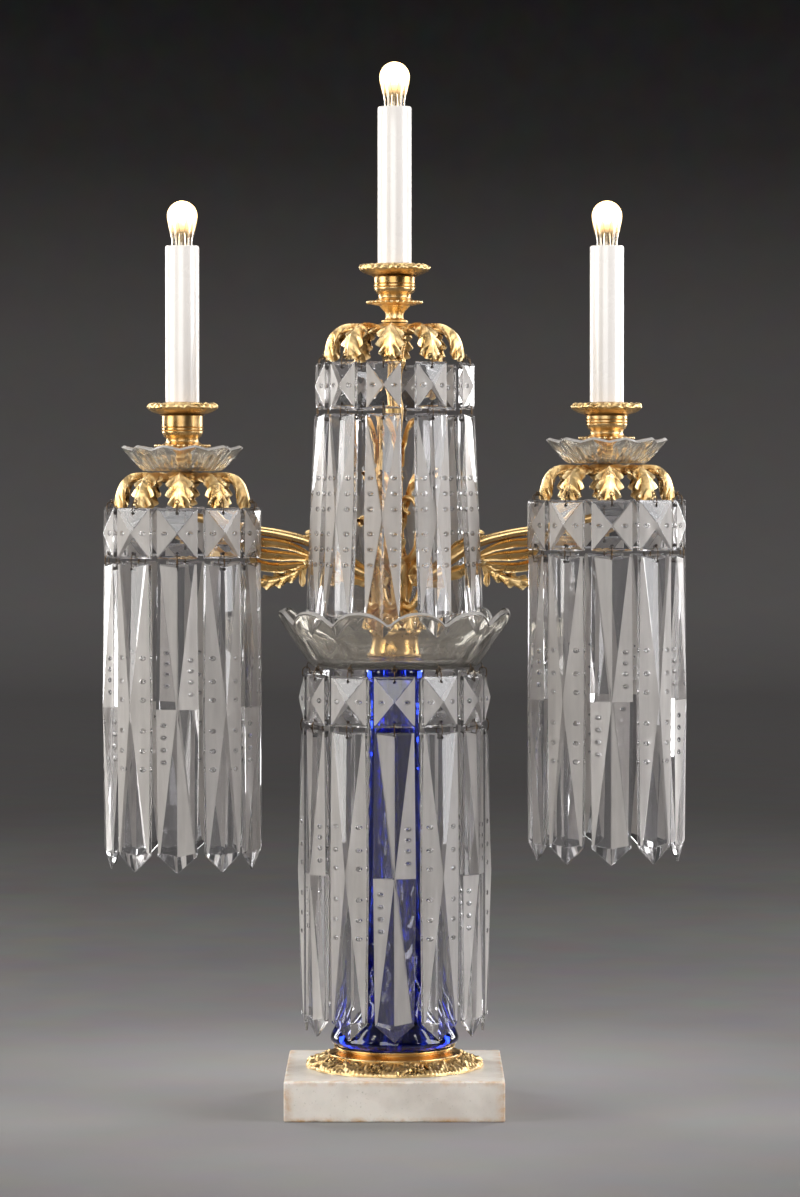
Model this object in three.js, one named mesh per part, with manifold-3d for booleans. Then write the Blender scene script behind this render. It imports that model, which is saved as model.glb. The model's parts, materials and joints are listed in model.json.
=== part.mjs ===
// A tabletop candelabra with three electric candles. A marble block carries a gilt foot mount, a blue
// glass pedestal and a clear glass dish. A gilt casting stands in the dish and carries two branch arms.
// Three leaf crowns and the dish are hung with cut-glass pendants. Millimetres, +Z up, front towards -Y,
// origin at the centre of the underside of the marble block.
import * as THREE from "three";
import { mergeVertices } from "three/addons/utils/BufferGeometryUtils.js";
import { ConvexGeometry } from "three/addons/geometries/ConvexGeometry.js";
import Module from "manifold-3d";

const wasm = await Module();
wasm.setup();

// ---- Driving dimensions ----

// Clearances
const GAP = 0.3; // between two pieces that rest on each other
const ROD_CLEARANCE = 0.5; // all round the tie bolt
const FIT_CLEARANCE = 0.4; // all round a sleeve, a bulb cap or the lead bushing
const PENDANT_CLEARANCE = 1.5; // on each side of a prism that hangs in a ring
const UPPER_CLEARANCE = 1.1;
const HOOK_REACH = 2.6; // from the edge that carries a pendant out to the pendant's wire

// Base and pedestal
const BASE_SIDE = 140;
const BASE_HEIGHT = 26;
const BASE_CHAMFER = 1.2;
const COUNTERBORE_RADIUS = 14;
const COUNTERBORE_DEPTH = 12;
const BUSHING_RADIUS = 4.3;
const BUSHING_BORE = 2.4;
const BUSHING_LENGTH = 12;
const BUSHING_FLANGE = 6.4;
const BUSHING_FLANGE_THICKNESS = 1.6;
const BUSHING_OFF_TABLE = 1.6;
const FOOT_RADIUS = 58;
const FOOT_NECK_RADIUS = 37;
const FOOT_HEIGHT = 13.4;
const PEDESTAL_HEIGHT = 245;
const PEDESTAL_FOOT_RADIUS = 41.5;
const PEDESTAL_STEM_RADIUS = 16.6;
const PEDESTAL_WALL = 5;
const PEDESTAL_FLUTES = 12;
const FLUTE_DEPTH = 0.03; // share of the radius

// Tie bolt
const ROD_RADIUS = 4.8;
const ROD_BORE = 3;
const BOLT_HEAD_RADIUS = 10.5;
const BOLT_HEAD_HEIGHT = 6;
const ROD_ENGAGEMENT = 18; // depth of the bolt in the branch casting

// Dish and its socket
const DISH_HEIGHT = 37;
const DISH_FLARE = 21; // from the floor's edge to the rim
const DISH_WALL = 4;
const DISH_PETALS = 12;
const DISH_DIP = 7.5; // depth of the notch between two petals
const DISH_TURN = -3; // degrees from the front to a notch
const SOCKET_RADIUS = 16.5;
const SOCKET_HEIGHT = 24;

// Branch casting
const STEM_HEIGHT = 180.8;
const STEM_RADIUS = 6.2;
const STEM_SCROLLS = 4;
const SCROLL_THICKNESS = 4;
const ARM_ROOT_HEIGHT = 30; // above the bottom of the stem
const ARM_RISE = 55; // from the arm's root to its boss
const ARM_THICKNESS = 5;
const ARM_BOSS_RADIUS = 6;
const ARM_BOSS_HEIGHT = 7;
const TIER_SPACING = 35; // between the facing pendants of the dish and of a side crown
const RIGHT_CROWN_LIFT = 5; // the right crown sits this much higher than the left one

// Crowns and glass bobeches
const CROWN_ARMS = 10;
const CROWN_ARM_WIDTH = 8;
const CROWN_HUB_RADIUS = 9;
const CROWN_HUB_HEIGHT = 12;
const CROWN_DROOP = 10; // of the arm tips below the hub
const CROWN_TURN = -4; // degrees, of the top crown
const BRANCH_OPENING = 40; // degrees left free in a side ring where the arm passes
const BOBECHE_RADIUS = 40;
const BOBECHE_FLOOR_RADIUS = 24;
const BOBECHE_HEIGHT = 16;
const BOBECHE_WALL = 3;
const BOBECHE_SCALLOPS = 10;
const BOBECHE_DIP = 2;

// Candles
const SLEEVE_RADIUS = 11;
const SLEEVE_WALL = 1.2;
const SLEEVE_SHOWN = 100.6; // above the drip rim
const SLEEVE_SEAT = 8; // depth in the candle cup
const TOP_CUP_HEIGHT = 11.6;
const SIDE_CUP_HEIGHT = 14.8;
const CUP_WALL = 2;
const CUP_RIM_RADIUS = 23.6;
const CUP_RIM_HEIGHT = 10;
const CUP_FLANGE_HEIGHT = 6;
const CUP_SPINDLE_HEIGHT = 10.3;
const SPINDLE_RADIUS = 6;
const HOLDER_RADIUS = 8.4;
const HOLDER_DEPTH = 5; // from the sleeve's top down to the lampholder
const CAP_RADIUS = 5.8;
const CAP_LENGTH = 10;
const BULB_NECK_RADIUS = 7;
const BULB_RADIUS = 9.8;
const BULB_SHOWN = 29; // above the sleeve

// Pendants
const JEWEL_WIDTH = 26;
const JEWEL_HEIGHT = 32.5;
const JEWEL_THICKNESS = 10;
const PRISM_WIDTH = 27.6;
const PRISM_LENGTH = 197;
const PRISM_THICKNESS = 11;
const PRISM_POINT = 11;
const UPPER_JEWEL_WIDTH = 22;
const UPPER_JEWEL_HEIGHT = 30;
const UPPER_PRISM_WIDTH = 24;
const UPPER_PRISM_LENGTH = 142;
const UPPER_SPLAY = 2.5; // degrees outwards from the jewel
const WIRE_RADIUS = 0.8;
const HOOK_DROP = 2.6; // from the wire's eye to the jewel
const LINK_DROP = 3; // from the jewel to the prism
const EYE_DROP = 0.7; // from the dish's underside to the wire's eye
const UPPER_RING_RADIUS = 1.2; // section of the wire ring that the upper pendants hang on
// The upper pendants hang beside the two branch arms, so their spacing isn't even (degrees from the front).
const UPPER_TURNS = [-71, -41, -8, 28, 71, 109, 140, 172, 208, 251];
const UPPER_SPACING = 30; // degrees, the closest two of them

// ---- Sizes that follow ----

const rad = THREE.MathUtils.degToRad;
const rodBore = ROD_RADIUS + ROD_CLEARANCE;
const leadHeight = BUSHING_FLANGE + BUSHING_OFF_TABLE;
const footBottom = BASE_HEIGHT + GAP;
const pedestalBottom = footBottom + FOOT_HEIGHT + GAP;
const dishBottom = pedestalBottom + PEDESTAL_HEIGHT + GAP;
const socketBottom = dishBottom + DISH_WALL + GAP;
const stemBottom = socketBottom + SOCKET_HEIGHT + GAP;
const topHubBottom = stemBottom + STEM_HEIGHT + GAP;
const dishRing = (PRISM_WIDTH / 2 + PENDANT_CLEARANCE) / Math.tan(Math.PI / DISH_PETALS);
const sideStep = (360 - BRANCH_OPENING) / (CROWN_ARMS - 1);
const sideRing = (PRISM_WIDTH / 2 + PENDANT_CLEARANCE) / Math.tan(rad(sideStep / 2));
const upperRing = (UPPER_PRISM_WIDTH / 2 + UPPER_CLEARANCE) / Math.tan(rad(UPPER_SPACING / 2));
const sideReach = dishRing + TIER_SPACING + sideRing * Math.cos(rad(BRANCH_OPENING / 2));
const dishFloorRadius = dishRing - HOOK_REACH;
const sleeveLength = SLEEVE_SEAT + SLEEVE_SHOWN;

// ---- Materials ----

const finish = (color, roughness, metalness) => ({ color, roughness, metalness });
const MARBLE = finish(0xe6dfd2, 0.35, 0);
const GILT = finish(0xd8a23a, 0.3, 1);
const STEEL = finish(0x9a9a96, 0.4, 1);
const BLACK = finish(0x1a1a1a, 0.5, 0);
const BLUE_GLASS = finish(0x10228a, 0.05, 0);
const CLEAR_GLASS = finish(0xdfe6ea, 0.05, 0);
const SLEEVE_WHITE = finish(0xe9e4de, 0.25, 0);

// ---- Geometry helpers ----

const points2 = (pairs) => pairs.map(([x, y]) => new THREE.Vector2(x, y));

// A closed geometry as a solid for joining and cutting.
function solid(geometry) {
  const bare = geometry.clone();
  bare.deleteAttribute("normal");
  bare.deleteAttribute("uv");
  const merged = mergeVertices(bare, 1e-4);
  return new wasm.Manifold(
    new wasm.Mesh({
      numProp: 3,
      vertProperties: merged.attributes.position.array,
      triVerts: new Uint32Array(merged.index.array),
    }),
  );
}

function geometryOf(manifold) {
  const mesh = manifold.getMesh();
  const geometry = new THREE.BufferGeometry();
  geometry.setAttribute("position", new THREE.BufferAttribute(mesh.vertProperties, 3));
  geometry.setIndex(new THREE.BufferAttribute(mesh.triVerts, 1));
  geometry.computeVertexNormals();
  return geometry;
}

const join = (geometries) => geometries.map(solid).reduce((whole, piece) => whole.add(piece));

// A turned piece about Z. The outline is [radius, height] pairs, anticlockwise seen with Z up.
function turned(outline, segments) {
  return new THREE.LatheGeometry(points2(outline), segments).rotateX(Math.PI / 2);
}

// A turned piece with a hole through it: the outline closes on itself.
const turnedRing = (outline, segments) => turned([...outline, outline[0]], segments);

// Moves each vertex by a function of its turn about Z, radius and height.
function reshape(geometry, rule) {
  const position = geometry.attributes.position;
  for (let i = 0; i < position.count; i++) {
    const x = position.getX(i);
    const y = position.getY(i);
    const turn = Math.atan2(y, x);
    const [radius, height] = rule(turn, Math.hypot(x, y), position.getZ(i));
    position.setXYZ(i, radius * Math.cos(turn), radius * Math.sin(turn), height);
  }
  return geometry;
}

// An upright rod along Z from one height to another.
function rod(radius, from, to, sides) {
  return new THREE.CylinderGeometry(radius, radius, to - from, sides)
    .rotateX(Math.PI / 2)
    .translate(0, 0, (from + to) / 2);
}

// A flat plate in the XZ plane, as thick as given along Y.
function plate(shape, thickness) {
  return new THREE.ExtrudeGeometry(shape, { depth: thickness, bevelEnabled: false, curveSegments: 4 })
    .translate(0, 0, -thickness / 2)
    .rotateX(Math.PI / 2);
}

// A band along a smooth path in the XZ plane. Each station is [x, z, half width].
function band(stations, steps, thickness) {
  const path = new THREE.SplineCurve(points2(stations));
  const upper = [];
  const lower = [];
  for (let i = 0; i <= steps; i++) {
    const along = (i / steps) * (stations.length - 1);
    const k = Math.min(Math.floor(along), stations.length - 2);
    const half = THREE.MathUtils.lerp(stations[k][2], stations[k + 1][2], along - k);
    const at = path.getPoint(i / steps);
    const side = path.getTangent(i / steps).rotateAround(new THREE.Vector2(), Math.PI / 2);
    upper.push(at.clone().addScaledVector(side, half));
    lower.unshift(at.clone().addScaledVector(side, -half));
  }
  return plate(new THREE.Shape([...upper, ...lower]), thickness);
}

const part = new THREE.Group();

// Adds a named mesh, at a place and a turn about Z, to the whole or to a group.
function add(name, shape, look, place = [0, 0, 0], turn = 0) {
  const geometry = shape.isBufferGeometry ? shape : geometryOf(shape);
  const mesh = new THREE.Mesh(geometry, new THREE.MeshStandardMaterial(look));
  mesh.name = name;
  mesh.position.set(...place);
  mesh.rotation.z = turn;
  part.add(mesh);
}

// ---- Base ----

function marbleBase() {
  const half = BASE_SIDE / 2 - BASE_CHAMFER;
  const square = new THREE.Shape(points2([[-half, -half], [half, -half], [half, half], [-half, half]]));
  const block = new THREE.ExtrudeGeometry(square, {
    depth: BASE_HEIGHT - 2 * BASE_CHAMFER,
    bevelSize: BASE_CHAMFER,
    bevelThickness: BASE_CHAMFER,
    bevelSegments: 1,
  }).translate(0, 0, BASE_CHAMFER);
  const leadHole = rod(BUSHING_RADIUS + FIT_CLEARANCE, 0, BASE_SIDE, 12)
    .rotateX(-Math.PI / 2)
    .translate(0, 0, leadHeight);
  return solid(block)
    .subtract(solid(rod(rodBore, -1, BASE_HEIGHT + 1, 16)))
    .subtract(solid(rod(COUNTERBORE_RADIUS, -1, COUNTERBORE_DEPTH, 24)))
    .subtract(solid(leadHole));
}

function leadBushing() {
  const outline = [
    [BUSHING_BORE, -BUSHING_LENGTH],
    [BUSHING_RADIUS, -BUSHING_LENGTH],
    [BUSHING_RADIUS, GAP],
    [BUSHING_FLANGE, GAP],
    [BUSHING_FLANGE, GAP + BUSHING_FLANGE_THICKNESS],
    [BUSHING_BORE, GAP + BUSHING_FLANGE_THICKNESS],
  ];
  return turnedRing(outline, 12).rotateX(-Math.PI / 2);
}

function footMount() {
  const lip = FOOT_NECK_RADIUS + 2;
  return turnedRing(
    [
      [rodBore, 0],
      [FOOT_RADIUS, 0],
      [FOOT_RADIUS, 1.6],
      [FOOT_RADIUS - 5, 3.6],
      [FOOT_NECK_RADIUS + 5, 6.4],
      [FOOT_NECK_RADIUS, 9],
      [FOOT_NECK_RADIUS, FOOT_HEIGHT - 2.6],
      [lip, FOOT_HEIGHT - 1.4],
      [lip, FOOT_HEIGHT],
      [rodBore, FOOT_HEIGHT],
    ],
    24,
  );
}

// Hollow, with its wall closed in to the bolt at the top and open at the foot.
function glassPedestal() {
  const stem = PEDESTAL_STEM_RADIUS;
  const foot = PEDESTAL_FOOT_RADIUS;
  const wall = PEDESTAL_WALL;
  const height = PEDESTAL_HEIGHT;
  const flare = (share) => stem + (foot - stem) * share;
  const outer = [
    [foot - 2, 0],
    [foot, 5],
    [flare(0.88), 12],
    [flare(0.45), 38],
    [flare(0.17), 80],
    [flare(0.03), 130],
    [stem, height - 30],
    [stem + 1, height - 8],
    [stem + 2.4, height - 6],
    [stem + 2.4, height],
  ];
  const inner = [
    [rodBore, height],
    [rodBore, height - 2 * wall],
    [stem - wall, height - 30],
    [flare(0.03) - wall, 130],
    [flare(0.17) - wall, 80],
    [flare(0.45) - wall, 38],
    [foot - 2 * wall, 0],
  ];
  const fluted = (turn, radius, z) => {
    const cut = radius > stem - 1 && z > 8 && z < height - 7;
    return [cut ? radius * (1 - FLUTE_DEPTH * (1 + Math.cos(PEDESTAL_FLUTES * turn)) / 2) : radius, z];
  };
  return reshape(turnedRing([...outer, ...inner], 2 * PEDESTAL_FLUTES), fluted);
}

function tieBolt() {
  const head = COUNTERBORE_DEPTH - GAP;
  const top = stemBottom + ROD_ENGAGEMENT;
  return solid(rod(ROD_RADIUS, head - 1, top, 12))
    .add(solid(rod(BOLT_HEAD_RADIUS, head - BOLT_HEAD_HEIGHT, head, 6)))
    .subtract(solid(rod(ROD_BORE, 0, top + 1, 12)));
}

// ---- Dish ----

function centreDish() {
  const floor = dishFloorRadius;
  const flare = (share) => floor + DISH_FLARE * share;
  const outline = [
    [rodBore, 0],
    [floor, 0],
    [flare(0.14), 2],
    [flare(0.62), 18],
    [flare(1), DISH_HEIGHT],
    [flare(1) - 0.7 * DISH_WALL, DISH_HEIGHT],
    [flare(0.62) - DISH_WALL, 18 + 1],
    [flare(0.14) - DISH_WALL, DISH_WALL + 1],
    [floor - DISH_WALL, DISH_WALL],
    [rodBore, DISH_WALL],
  ];
  // The rim dips between two petals, and the dip fades out down the wall.
  const petalled = (turn, radius, z) => {
    const notch = 1 - Math.abs(Math.sin((DISH_PETALS / 2) * (turn - rad(DISH_TURN - 90))));
    return [radius, z - DISH_DIP * notch * THREE.MathUtils.smoothstep(z, DISH_HEIGHT / 2, DISH_HEIGHT)];
  };
  return reshape(turnedRing(outline, 4 * DISH_PETALS).rotateZ(rad(DISH_TURN)), petalled);
}

function dishSocket() {
  return turnedRing(
    [
      [rodBore, 0],
      [SOCKET_RADIUS - 1, 0],
      [SOCKET_RADIUS, 2],
      [SOCKET_RADIUS, SOCKET_HEIGHT - 5],
      [SOCKET_RADIUS - 3, SOCKET_HEIGHT],
      [rodBore, SOCKET_HEIGHT],
    ],
    24,
  );
}

// ---- Branch casting ----

function branchStem() {
  const stem = STEM_RADIUS;
  const calyx = SOCKET_RADIUS;
  const body = turned(
    [
      [0, ROD_ENGAGEMENT + GAP],
      [rodBore, ROD_ENGAGEMENT + GAP],
      [rodBore, 0],
      [calyx - 4, 0],
      [calyx, 5],
      [calyx - 5, 10],
      [stem + 4, 16],
      [stem + 2, ARM_ROOT_HEIGHT - 8],
      [stem + 2, ARM_ROOT_HEIGHT + 8],
      [stem, ARM_ROOT_HEIGHT + 20],
      [stem - 1.4, STEM_HEIGHT - 40],
      [stem, STEM_HEIGHT - 14],
      [CROWN_HUB_RADIUS - 1, STEM_HEIGHT],
      [0, STEM_HEIGHT],
    ],
    16,
  );
  const scroll = band(
    [
      [stem, 20, 2],
      [stem + 9, 22, 2.4],
      [stem + 17, 36, 2.6],
      [stem + 17, 58, 2.4],
      [stem + 10, 74, 2],
      [stem - 2, 82, 2],
    ],
    10,
    SCROLL_THICKNESS,
  );
  const scrolls = [];
  for (let k = 0; k < STEM_SCROLLS; k++) {
    scrolls.push(scroll.clone().rotateZ(((k + 0.5) * 2 * Math.PI) / STEM_SCROLLS));
  }
  return join([body, ...scrolls]);
}

// An arm along +X from its root on the stem to the boss under a crown.
function branchArm(lift) {
  const root = STEM_RADIUS + 2 + GAP;
  const span = sideReach - root;
  const at = (share) => root + span * share;
  const rise = ARM_RISE + lift;
  const rail = band(
    [
      [root, 0, 4],
      [at(0.06), 0, 4],
      [at(0.2), 8, 3.4],
      [at(0.4), 22, 3.2],
      [at(0.6), 27, 3],
      [at(0.82), 32, 2.8],
      [at(0.94), 37, 2.8],
      [sideReach, rise - ARM_BOSS_HEIGHT + 2, 3.2],
    ],
    20,
    ARM_THICKNESS,
  );
  const leaf = (share, length, drop, width) =>
    band(
      [
        [at(share), 22, width],
        [at(share) + length * 0.6, 16, width],
        [at(share) + length, 16 - drop, width * 0.4],
      ],
      6,
      ARM_THICKNESS,
    );
  const boss = rod(ARM_BOSS_RADIUS, rise - ARM_BOSS_HEIGHT, rise, 12).translate(sideReach, 0, 0);
  return join([rail, leaf(0.36, 16, 8, 4), leaf(0.5, 16, 12, 4.4), boss]);
}

// ---- Crowns and bobeches ----

// Origin at the underside of the hub. Leaf arms droop to the ring that the pendants hang in.
function crown(ring) {
  const tip = ring - HOOK_REACH;
  const hub = CROWN_HUB_RADIUS;
  const arm = band(
    [
      [hub - 4, 7, 3],
      [hub + (tip - hub) * 0.35, 9, 2.4],
      [hub + (tip - hub) * 0.7, 8, 2.4],
      [tip - 3.4, 1, 2.2],
      [tip - 1.2, -CROWN_DROOP, 1.2],
    ],
    5,
    CROWN_ARM_WIDTH,
  );
  const pieces = [rod(hub, 0, CROWN_HUB_HEIGHT, 2 * CROWN_ARMS)];
  for (let k = 0; k < CROWN_ARMS; k++) {
    pieces.push(arm.clone().rotateZ((k * 2 * Math.PI) / CROWN_ARMS - Math.PI / 2));
  }
  return join(pieces);
}

// Origin at the underside of the glass.
function bobeche() {
  const bore = SPINDLE_RADIUS - 2;
  const floor = BOBECHE_FLOOR_RADIUS;
  const mid = (floor + BOBECHE_RADIUS) / 2 + 2;
  const outline = [
    [bore, 0],
    [floor, 0],
    [mid, 6],
    [BOBECHE_RADIUS, BOBECHE_HEIGHT],
    [BOBECHE_RADIUS - BOBECHE_WALL, BOBECHE_HEIGHT],
    [mid - BOBECHE_WALL, 6 + BOBECHE_WALL],
    [floor - 1, BOBECHE_WALL],
    [bore, BOBECHE_WALL],
  ];
  const scalloped = (turn, radius, z) => {
    const notch = 1 - Math.abs(Math.sin((BOBECHE_SCALLOPS / 2) * turn));
    const fade = THREE.MathUtils.smoothstep(radius, floor, BOBECHE_RADIUS);
    return [radius - BOBECHE_DIP * notch * fade, z];
  };
  return reshape(turnedRing(outline, 4 * BOBECHE_SCALLOPS), scalloped);
}

// ---- Candles ----

// Origin at the foot of the spindle. Returns the piece and the height of its rim.
function candleCup(cupHeight, spindle) {
  const flangeBottom = spindle;
  const cupBottom = flangeBottom + CUP_FLANGE_HEIGHT;
  const rimBottom = cupBottom + cupHeight;
  const rimTop = rimBottom + CUP_RIM_HEIGHT;
  const seat = SLEEVE_RADIUS + FIT_CLEARANCE;
  const cup = seat + CUP_WALL;
  const shape = turned(
    [
      [0, 0],
      [SPINDLE_RADIUS, 0],
      [SPINDLE_RADIUS, spindle * 0.35],
      [SPINDLE_RADIUS + 4, spindle],
      [cup + 4, flangeBottom + 1],
      [cup + 4, cupBottom],
      [cup, cupBottom],
      [cup, rimBottom],
      [CUP_RIM_RADIUS - 3, rimBottom + 1],
      [CUP_RIM_RADIUS, rimBottom + 5],
      [CUP_RIM_RADIUS - 2, rimTop - 1],
      [seat + 1.5, rimTop],
      [seat, rimTop],
      [seat, rimTop - SLEEVE_SEAT - GAP],
      [0, rimTop - SLEEVE_SEAT - GAP],
    ],
    16,
  );
  return { shape, rimTop };
}

// Origin at the sleeve's lower end.
function candleSleeve() {
  const inside = SLEEVE_RADIUS - SLEEVE_WALL;
  return turnedRing(
    [
      [inside, 0],
      [SLEEVE_RADIUS, 0],
      [SLEEVE_RADIUS, sleeveLength],
      [inside, sleeveLength],
    ],
    16,
  );
}

function lampholder() {
  const top = sleeveLength - HOLDER_DEPTH;
  const bore = CAP_RADIUS + FIT_CLEARANCE;
  return turned(
    [
      [0, 0],
      [HOLDER_RADIUS, 0],
      [HOLDER_RADIUS, top],
      [bore, top],
      [bore, top - CAP_LENGTH - GAP],
      [0, top - CAP_LENGTH - GAP],
    ],
    12,
  );
}

function bulb() {
  const shoulder = sleeveLength - HOLDER_DEPTH + GAP;
  const top = sleeveLength + BULB_SHOWN;
  const centre = top - BULB_RADIUS;
  const outline = [
    [0, shoulder - CAP_LENGTH],
    [CAP_RADIUS, shoulder - CAP_LENGTH],
    [CAP_RADIUS, shoulder],
    [BULB_NECK_RADIUS, shoulder],
    [BULB_NECK_RADIUS, sleeveLength + 4],
    [BULB_RADIUS * 0.88, centre - BULB_RADIUS * 0.7],
  ];
  for (const angle of [0, 30, 58]) {
    const turn = rad(angle);
    outline.push([BULB_RADIUS * Math.cos(turn), centre + BULB_RADIUS * Math.sin(turn)]);
  }
  return turned([...outline, [0, top]], 12);
}

// ---- Pendants ----

// A drilled rectangular jewel: four facets meet at a point on the front and on the back.
function jewel(width, height, top) {
  const corners = [];
  for (const x of [-width / 2, width / 2]) {
    for (const z of [top, top - height]) {
      corners.push(new THREE.Vector3(x, -1.3, z), new THREE.Vector3(x, 1.3, z));
    }
  }
  const middle = top - height / 2;
  corners.push(new THREE.Vector3(0, -JEWEL_THICKNESS / 2, middle));
  corners.push(new THREE.Vector3(0, JEWEL_THICKNESS / 2, middle));
  return new ConvexGeometry(corners);
}

// A long prism, widest and thickest just above the middle, with a point below. It can lean outwards.
function prism(width, length, top, splay) {
  const stations = [
    // [share of the length, share of the width, half thickness of the edge, half thickness at the ridge]
    [0, 0.92, 1, PRISM_THICKNESS * 0.3],
    [0.47, 1, 1, PRISM_THICKNESS * 0.5],
    [1 - PRISM_POINT / length, 0.9, 1, PRISM_THICKNESS * 0.3],
  ];
  const corners = [];
  for (const [along, share, edge, ridge] of stations) {
    const z = -length * along;
    for (const side of [-1, 1]) {
      corners.push(new THREE.Vector3((side * width * share) / 2, -edge, z));
      corners.push(new THREE.Vector3((side * width * share) / 2, edge, z));
      corners.push(new THREE.Vector3(0, side * ridge, z));
    }
  }
  corners.push(new THREE.Vector3(0, -0.6, -length));
  corners.push(new THREE.Vector3(0, 0.6, -length));
  return new ConvexGeometry(corners).rotateX(rad(-splay)).translate(0, 0, top);
}

// Jewel, wire and prism, with the origin at the wire's eye and the front towards -Y.
function pendant({ jewelWidth, jewelHeight, prismWidth, prismLength, splay = 0 }) {
  const prismTop = -HOOK_DROP - jewelHeight - LINK_DROP;
  return join([
    jewel(jewelWidth, jewelHeight, -HOOK_DROP),
    prism(prismWidth, prismLength, prismTop, splay),
    rod(WIRE_RADIUS, prismTop - 4, WIRE_RADIUS, 4),
  ]);
}

const LONG = {
  jewelWidth: JEWEL_WIDTH,
  jewelHeight: JEWEL_HEIGHT,
  prismWidth: PRISM_WIDTH,
  prismLength: PRISM_LENGTH,
};
const SHORT = {
  jewelWidth: UPPER_JEWEL_WIDTH,
  jewelHeight: UPPER_JEWEL_HEIGHT,
  prismWidth: UPPER_PRISM_WIDTH,
  prismLength: UPPER_PRISM_LENGTH,
  splay: UPPER_SPLAY,
};

// Hangs a ring of long pendants about an upright axis. The turns are degrees from the front.
function hang(prefix, turns, radius, axisX, eyeHeight) {
  turns.forEach((degrees, k) => {
    const turn = rad(degrees);
    const place = [axisX + radius * Math.sin(turn), -radius * Math.cos(turn), eyeHeight];
    add(`${prefix}_${String(k).padStart(2, "0")}`, pendant(LONG), CLEAR_GLASS, place, turn);
  });
}

// The upper pendants lean on each other and on the casting, so they are one piece on a wire ring.
function upperPendants() {
  const ring = new THREE.TorusGeometry(upperRing, UPPER_RING_RADIUS, 4, 30);
  let whole = solid(ring);
  for (const degrees of UPPER_TURNS) {
    whole = whole.add(pendant(SHORT).translate([0, -upperRing, 0]).rotate([0, 0, degrees]));
  }
  return whole;
}

// ---- Assembly ----

add("marble_base", marbleBase(), MARBLE);
add("lead_bushing", leadBushing(), BLACK, [0, BASE_SIDE / 2, leadHeight]);
add("foot_mount", footMount(), GILT, [0, 0, footBottom]);
add("glass_pedestal", glassPedestal(), BLUE_GLASS, [0, 0, pedestalBottom]);
add("tie_bolt", tieBolt(), STEEL);
add("centre_dish", centreDish(), CLEAR_GLASS, [0, 0, dishBottom]);
add("dish_socket", dishSocket(), GILT, [0, 0, socketBottom]);
add("branch_stem", branchStem(), GILT, [0, 0, stemBottom]);

// A candle with its cup, sleeve, lampholder and bulb. The foot is the height of the cup's spindle.
function candle(place, axisX, foot, cupHeight, spindle) {
  const cup = candleCup(cupHeight, spindle);
  const seat = foot + cup.rimTop - SLEEVE_SEAT;
  add(`candle_cup_${place}`, cup.shape, GILT, [axisX, 0, foot]);
  add(`candle_sleeve_${place}`, candleSleeve(), SLEEVE_WHITE, [axisX, 0, seat]);
  add(`lampholder_${place}`, lampholder(), BLACK, [axisX, 0, seat]);
  add(`bulb_${place}`, bulb(), CLEAR_GLASS, [axisX, 0, seat]);
}

function sideBranch(place, side, lift) {
  const rootHeight = stemBottom + ARM_ROOT_HEIGHT;
  const axisX = side * sideReach;
  const hubBottom = rootHeight + ARM_RISE + lift + GAP;
  const glassBottom = hubBottom + CROWN_HUB_HEIGHT + GAP;
  const foot = glassBottom + BOBECHE_WALL + GAP;
  const turnToStem = -side * 90;
  const turns = [];
  for (let k = 0; k < CROWN_ARMS; k++) {
    turns.push(turnToStem - side * (BRANCH_OPENING / 2 + k * sideStep));
  }
  add(`arm_${place}`, branchArm(lift), GILT, [0, 0, rootHeight], side > 0 ? 0 : Math.PI);
  add(`crown_${place}`, crown(sideRing), GILT, [axisX, 0, hubBottom]);
  add(`bobeche_${place}`, bobeche(), CLEAR_GLASS, [axisX, 0, glassBottom]);
  candle(place, axisX, foot, SIDE_CUP_HEIGHT, CUP_SPINDLE_HEIGHT - lift);
  hang(`${place}_pendant`, turns, sideRing, axisX, hubBottom - CROWN_DROOP + HOOK_DROP / 2);
}

sideBranch("left", -1, 0);
sideBranch("right", 1, RIGHT_CROWN_LIFT);

add("crown_top", crown(upperRing), GILT, [0, 0, topHubBottom], rad(CROWN_TURN));
candle("top", 0, topHubBottom + CROWN_HUB_HEIGHT + GAP, TOP_CUP_HEIGHT, CUP_SPINDLE_HEIGHT);
const upperEye = topHubBottom - CROWN_DROOP - UPPER_RING_RADIUS - GAP;
add("upper_pendants", upperPendants(), CLEAR_GLASS, [0, 0, upperEye]);

const dishTurns = [];
for (let k = 0; k < DISH_PETALS; k++) {
  dishTurns.push((k * 360) / DISH_PETALS);
}
hang("dish_pendant", dishTurns, dishRing, 0, dishBottom - EYE_DROP - WIRE_RADIUS);

export default part;
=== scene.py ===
# %% [markdown]
# # A candelabra hung with cut glass
# The lamp stands on a marble block: a gilt mount, a cobalt glass pedestal, a clear glass dish and a gilt
# casting with two arms. Three leaf crowns and the dish carry forty-two cut-glass pendants.
# Sizes are in millimetres until a mesh is made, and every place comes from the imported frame.

import json
import math
import random

import bmesh
import bpy
from mathutils import Matrix, Vector, noise


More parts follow.
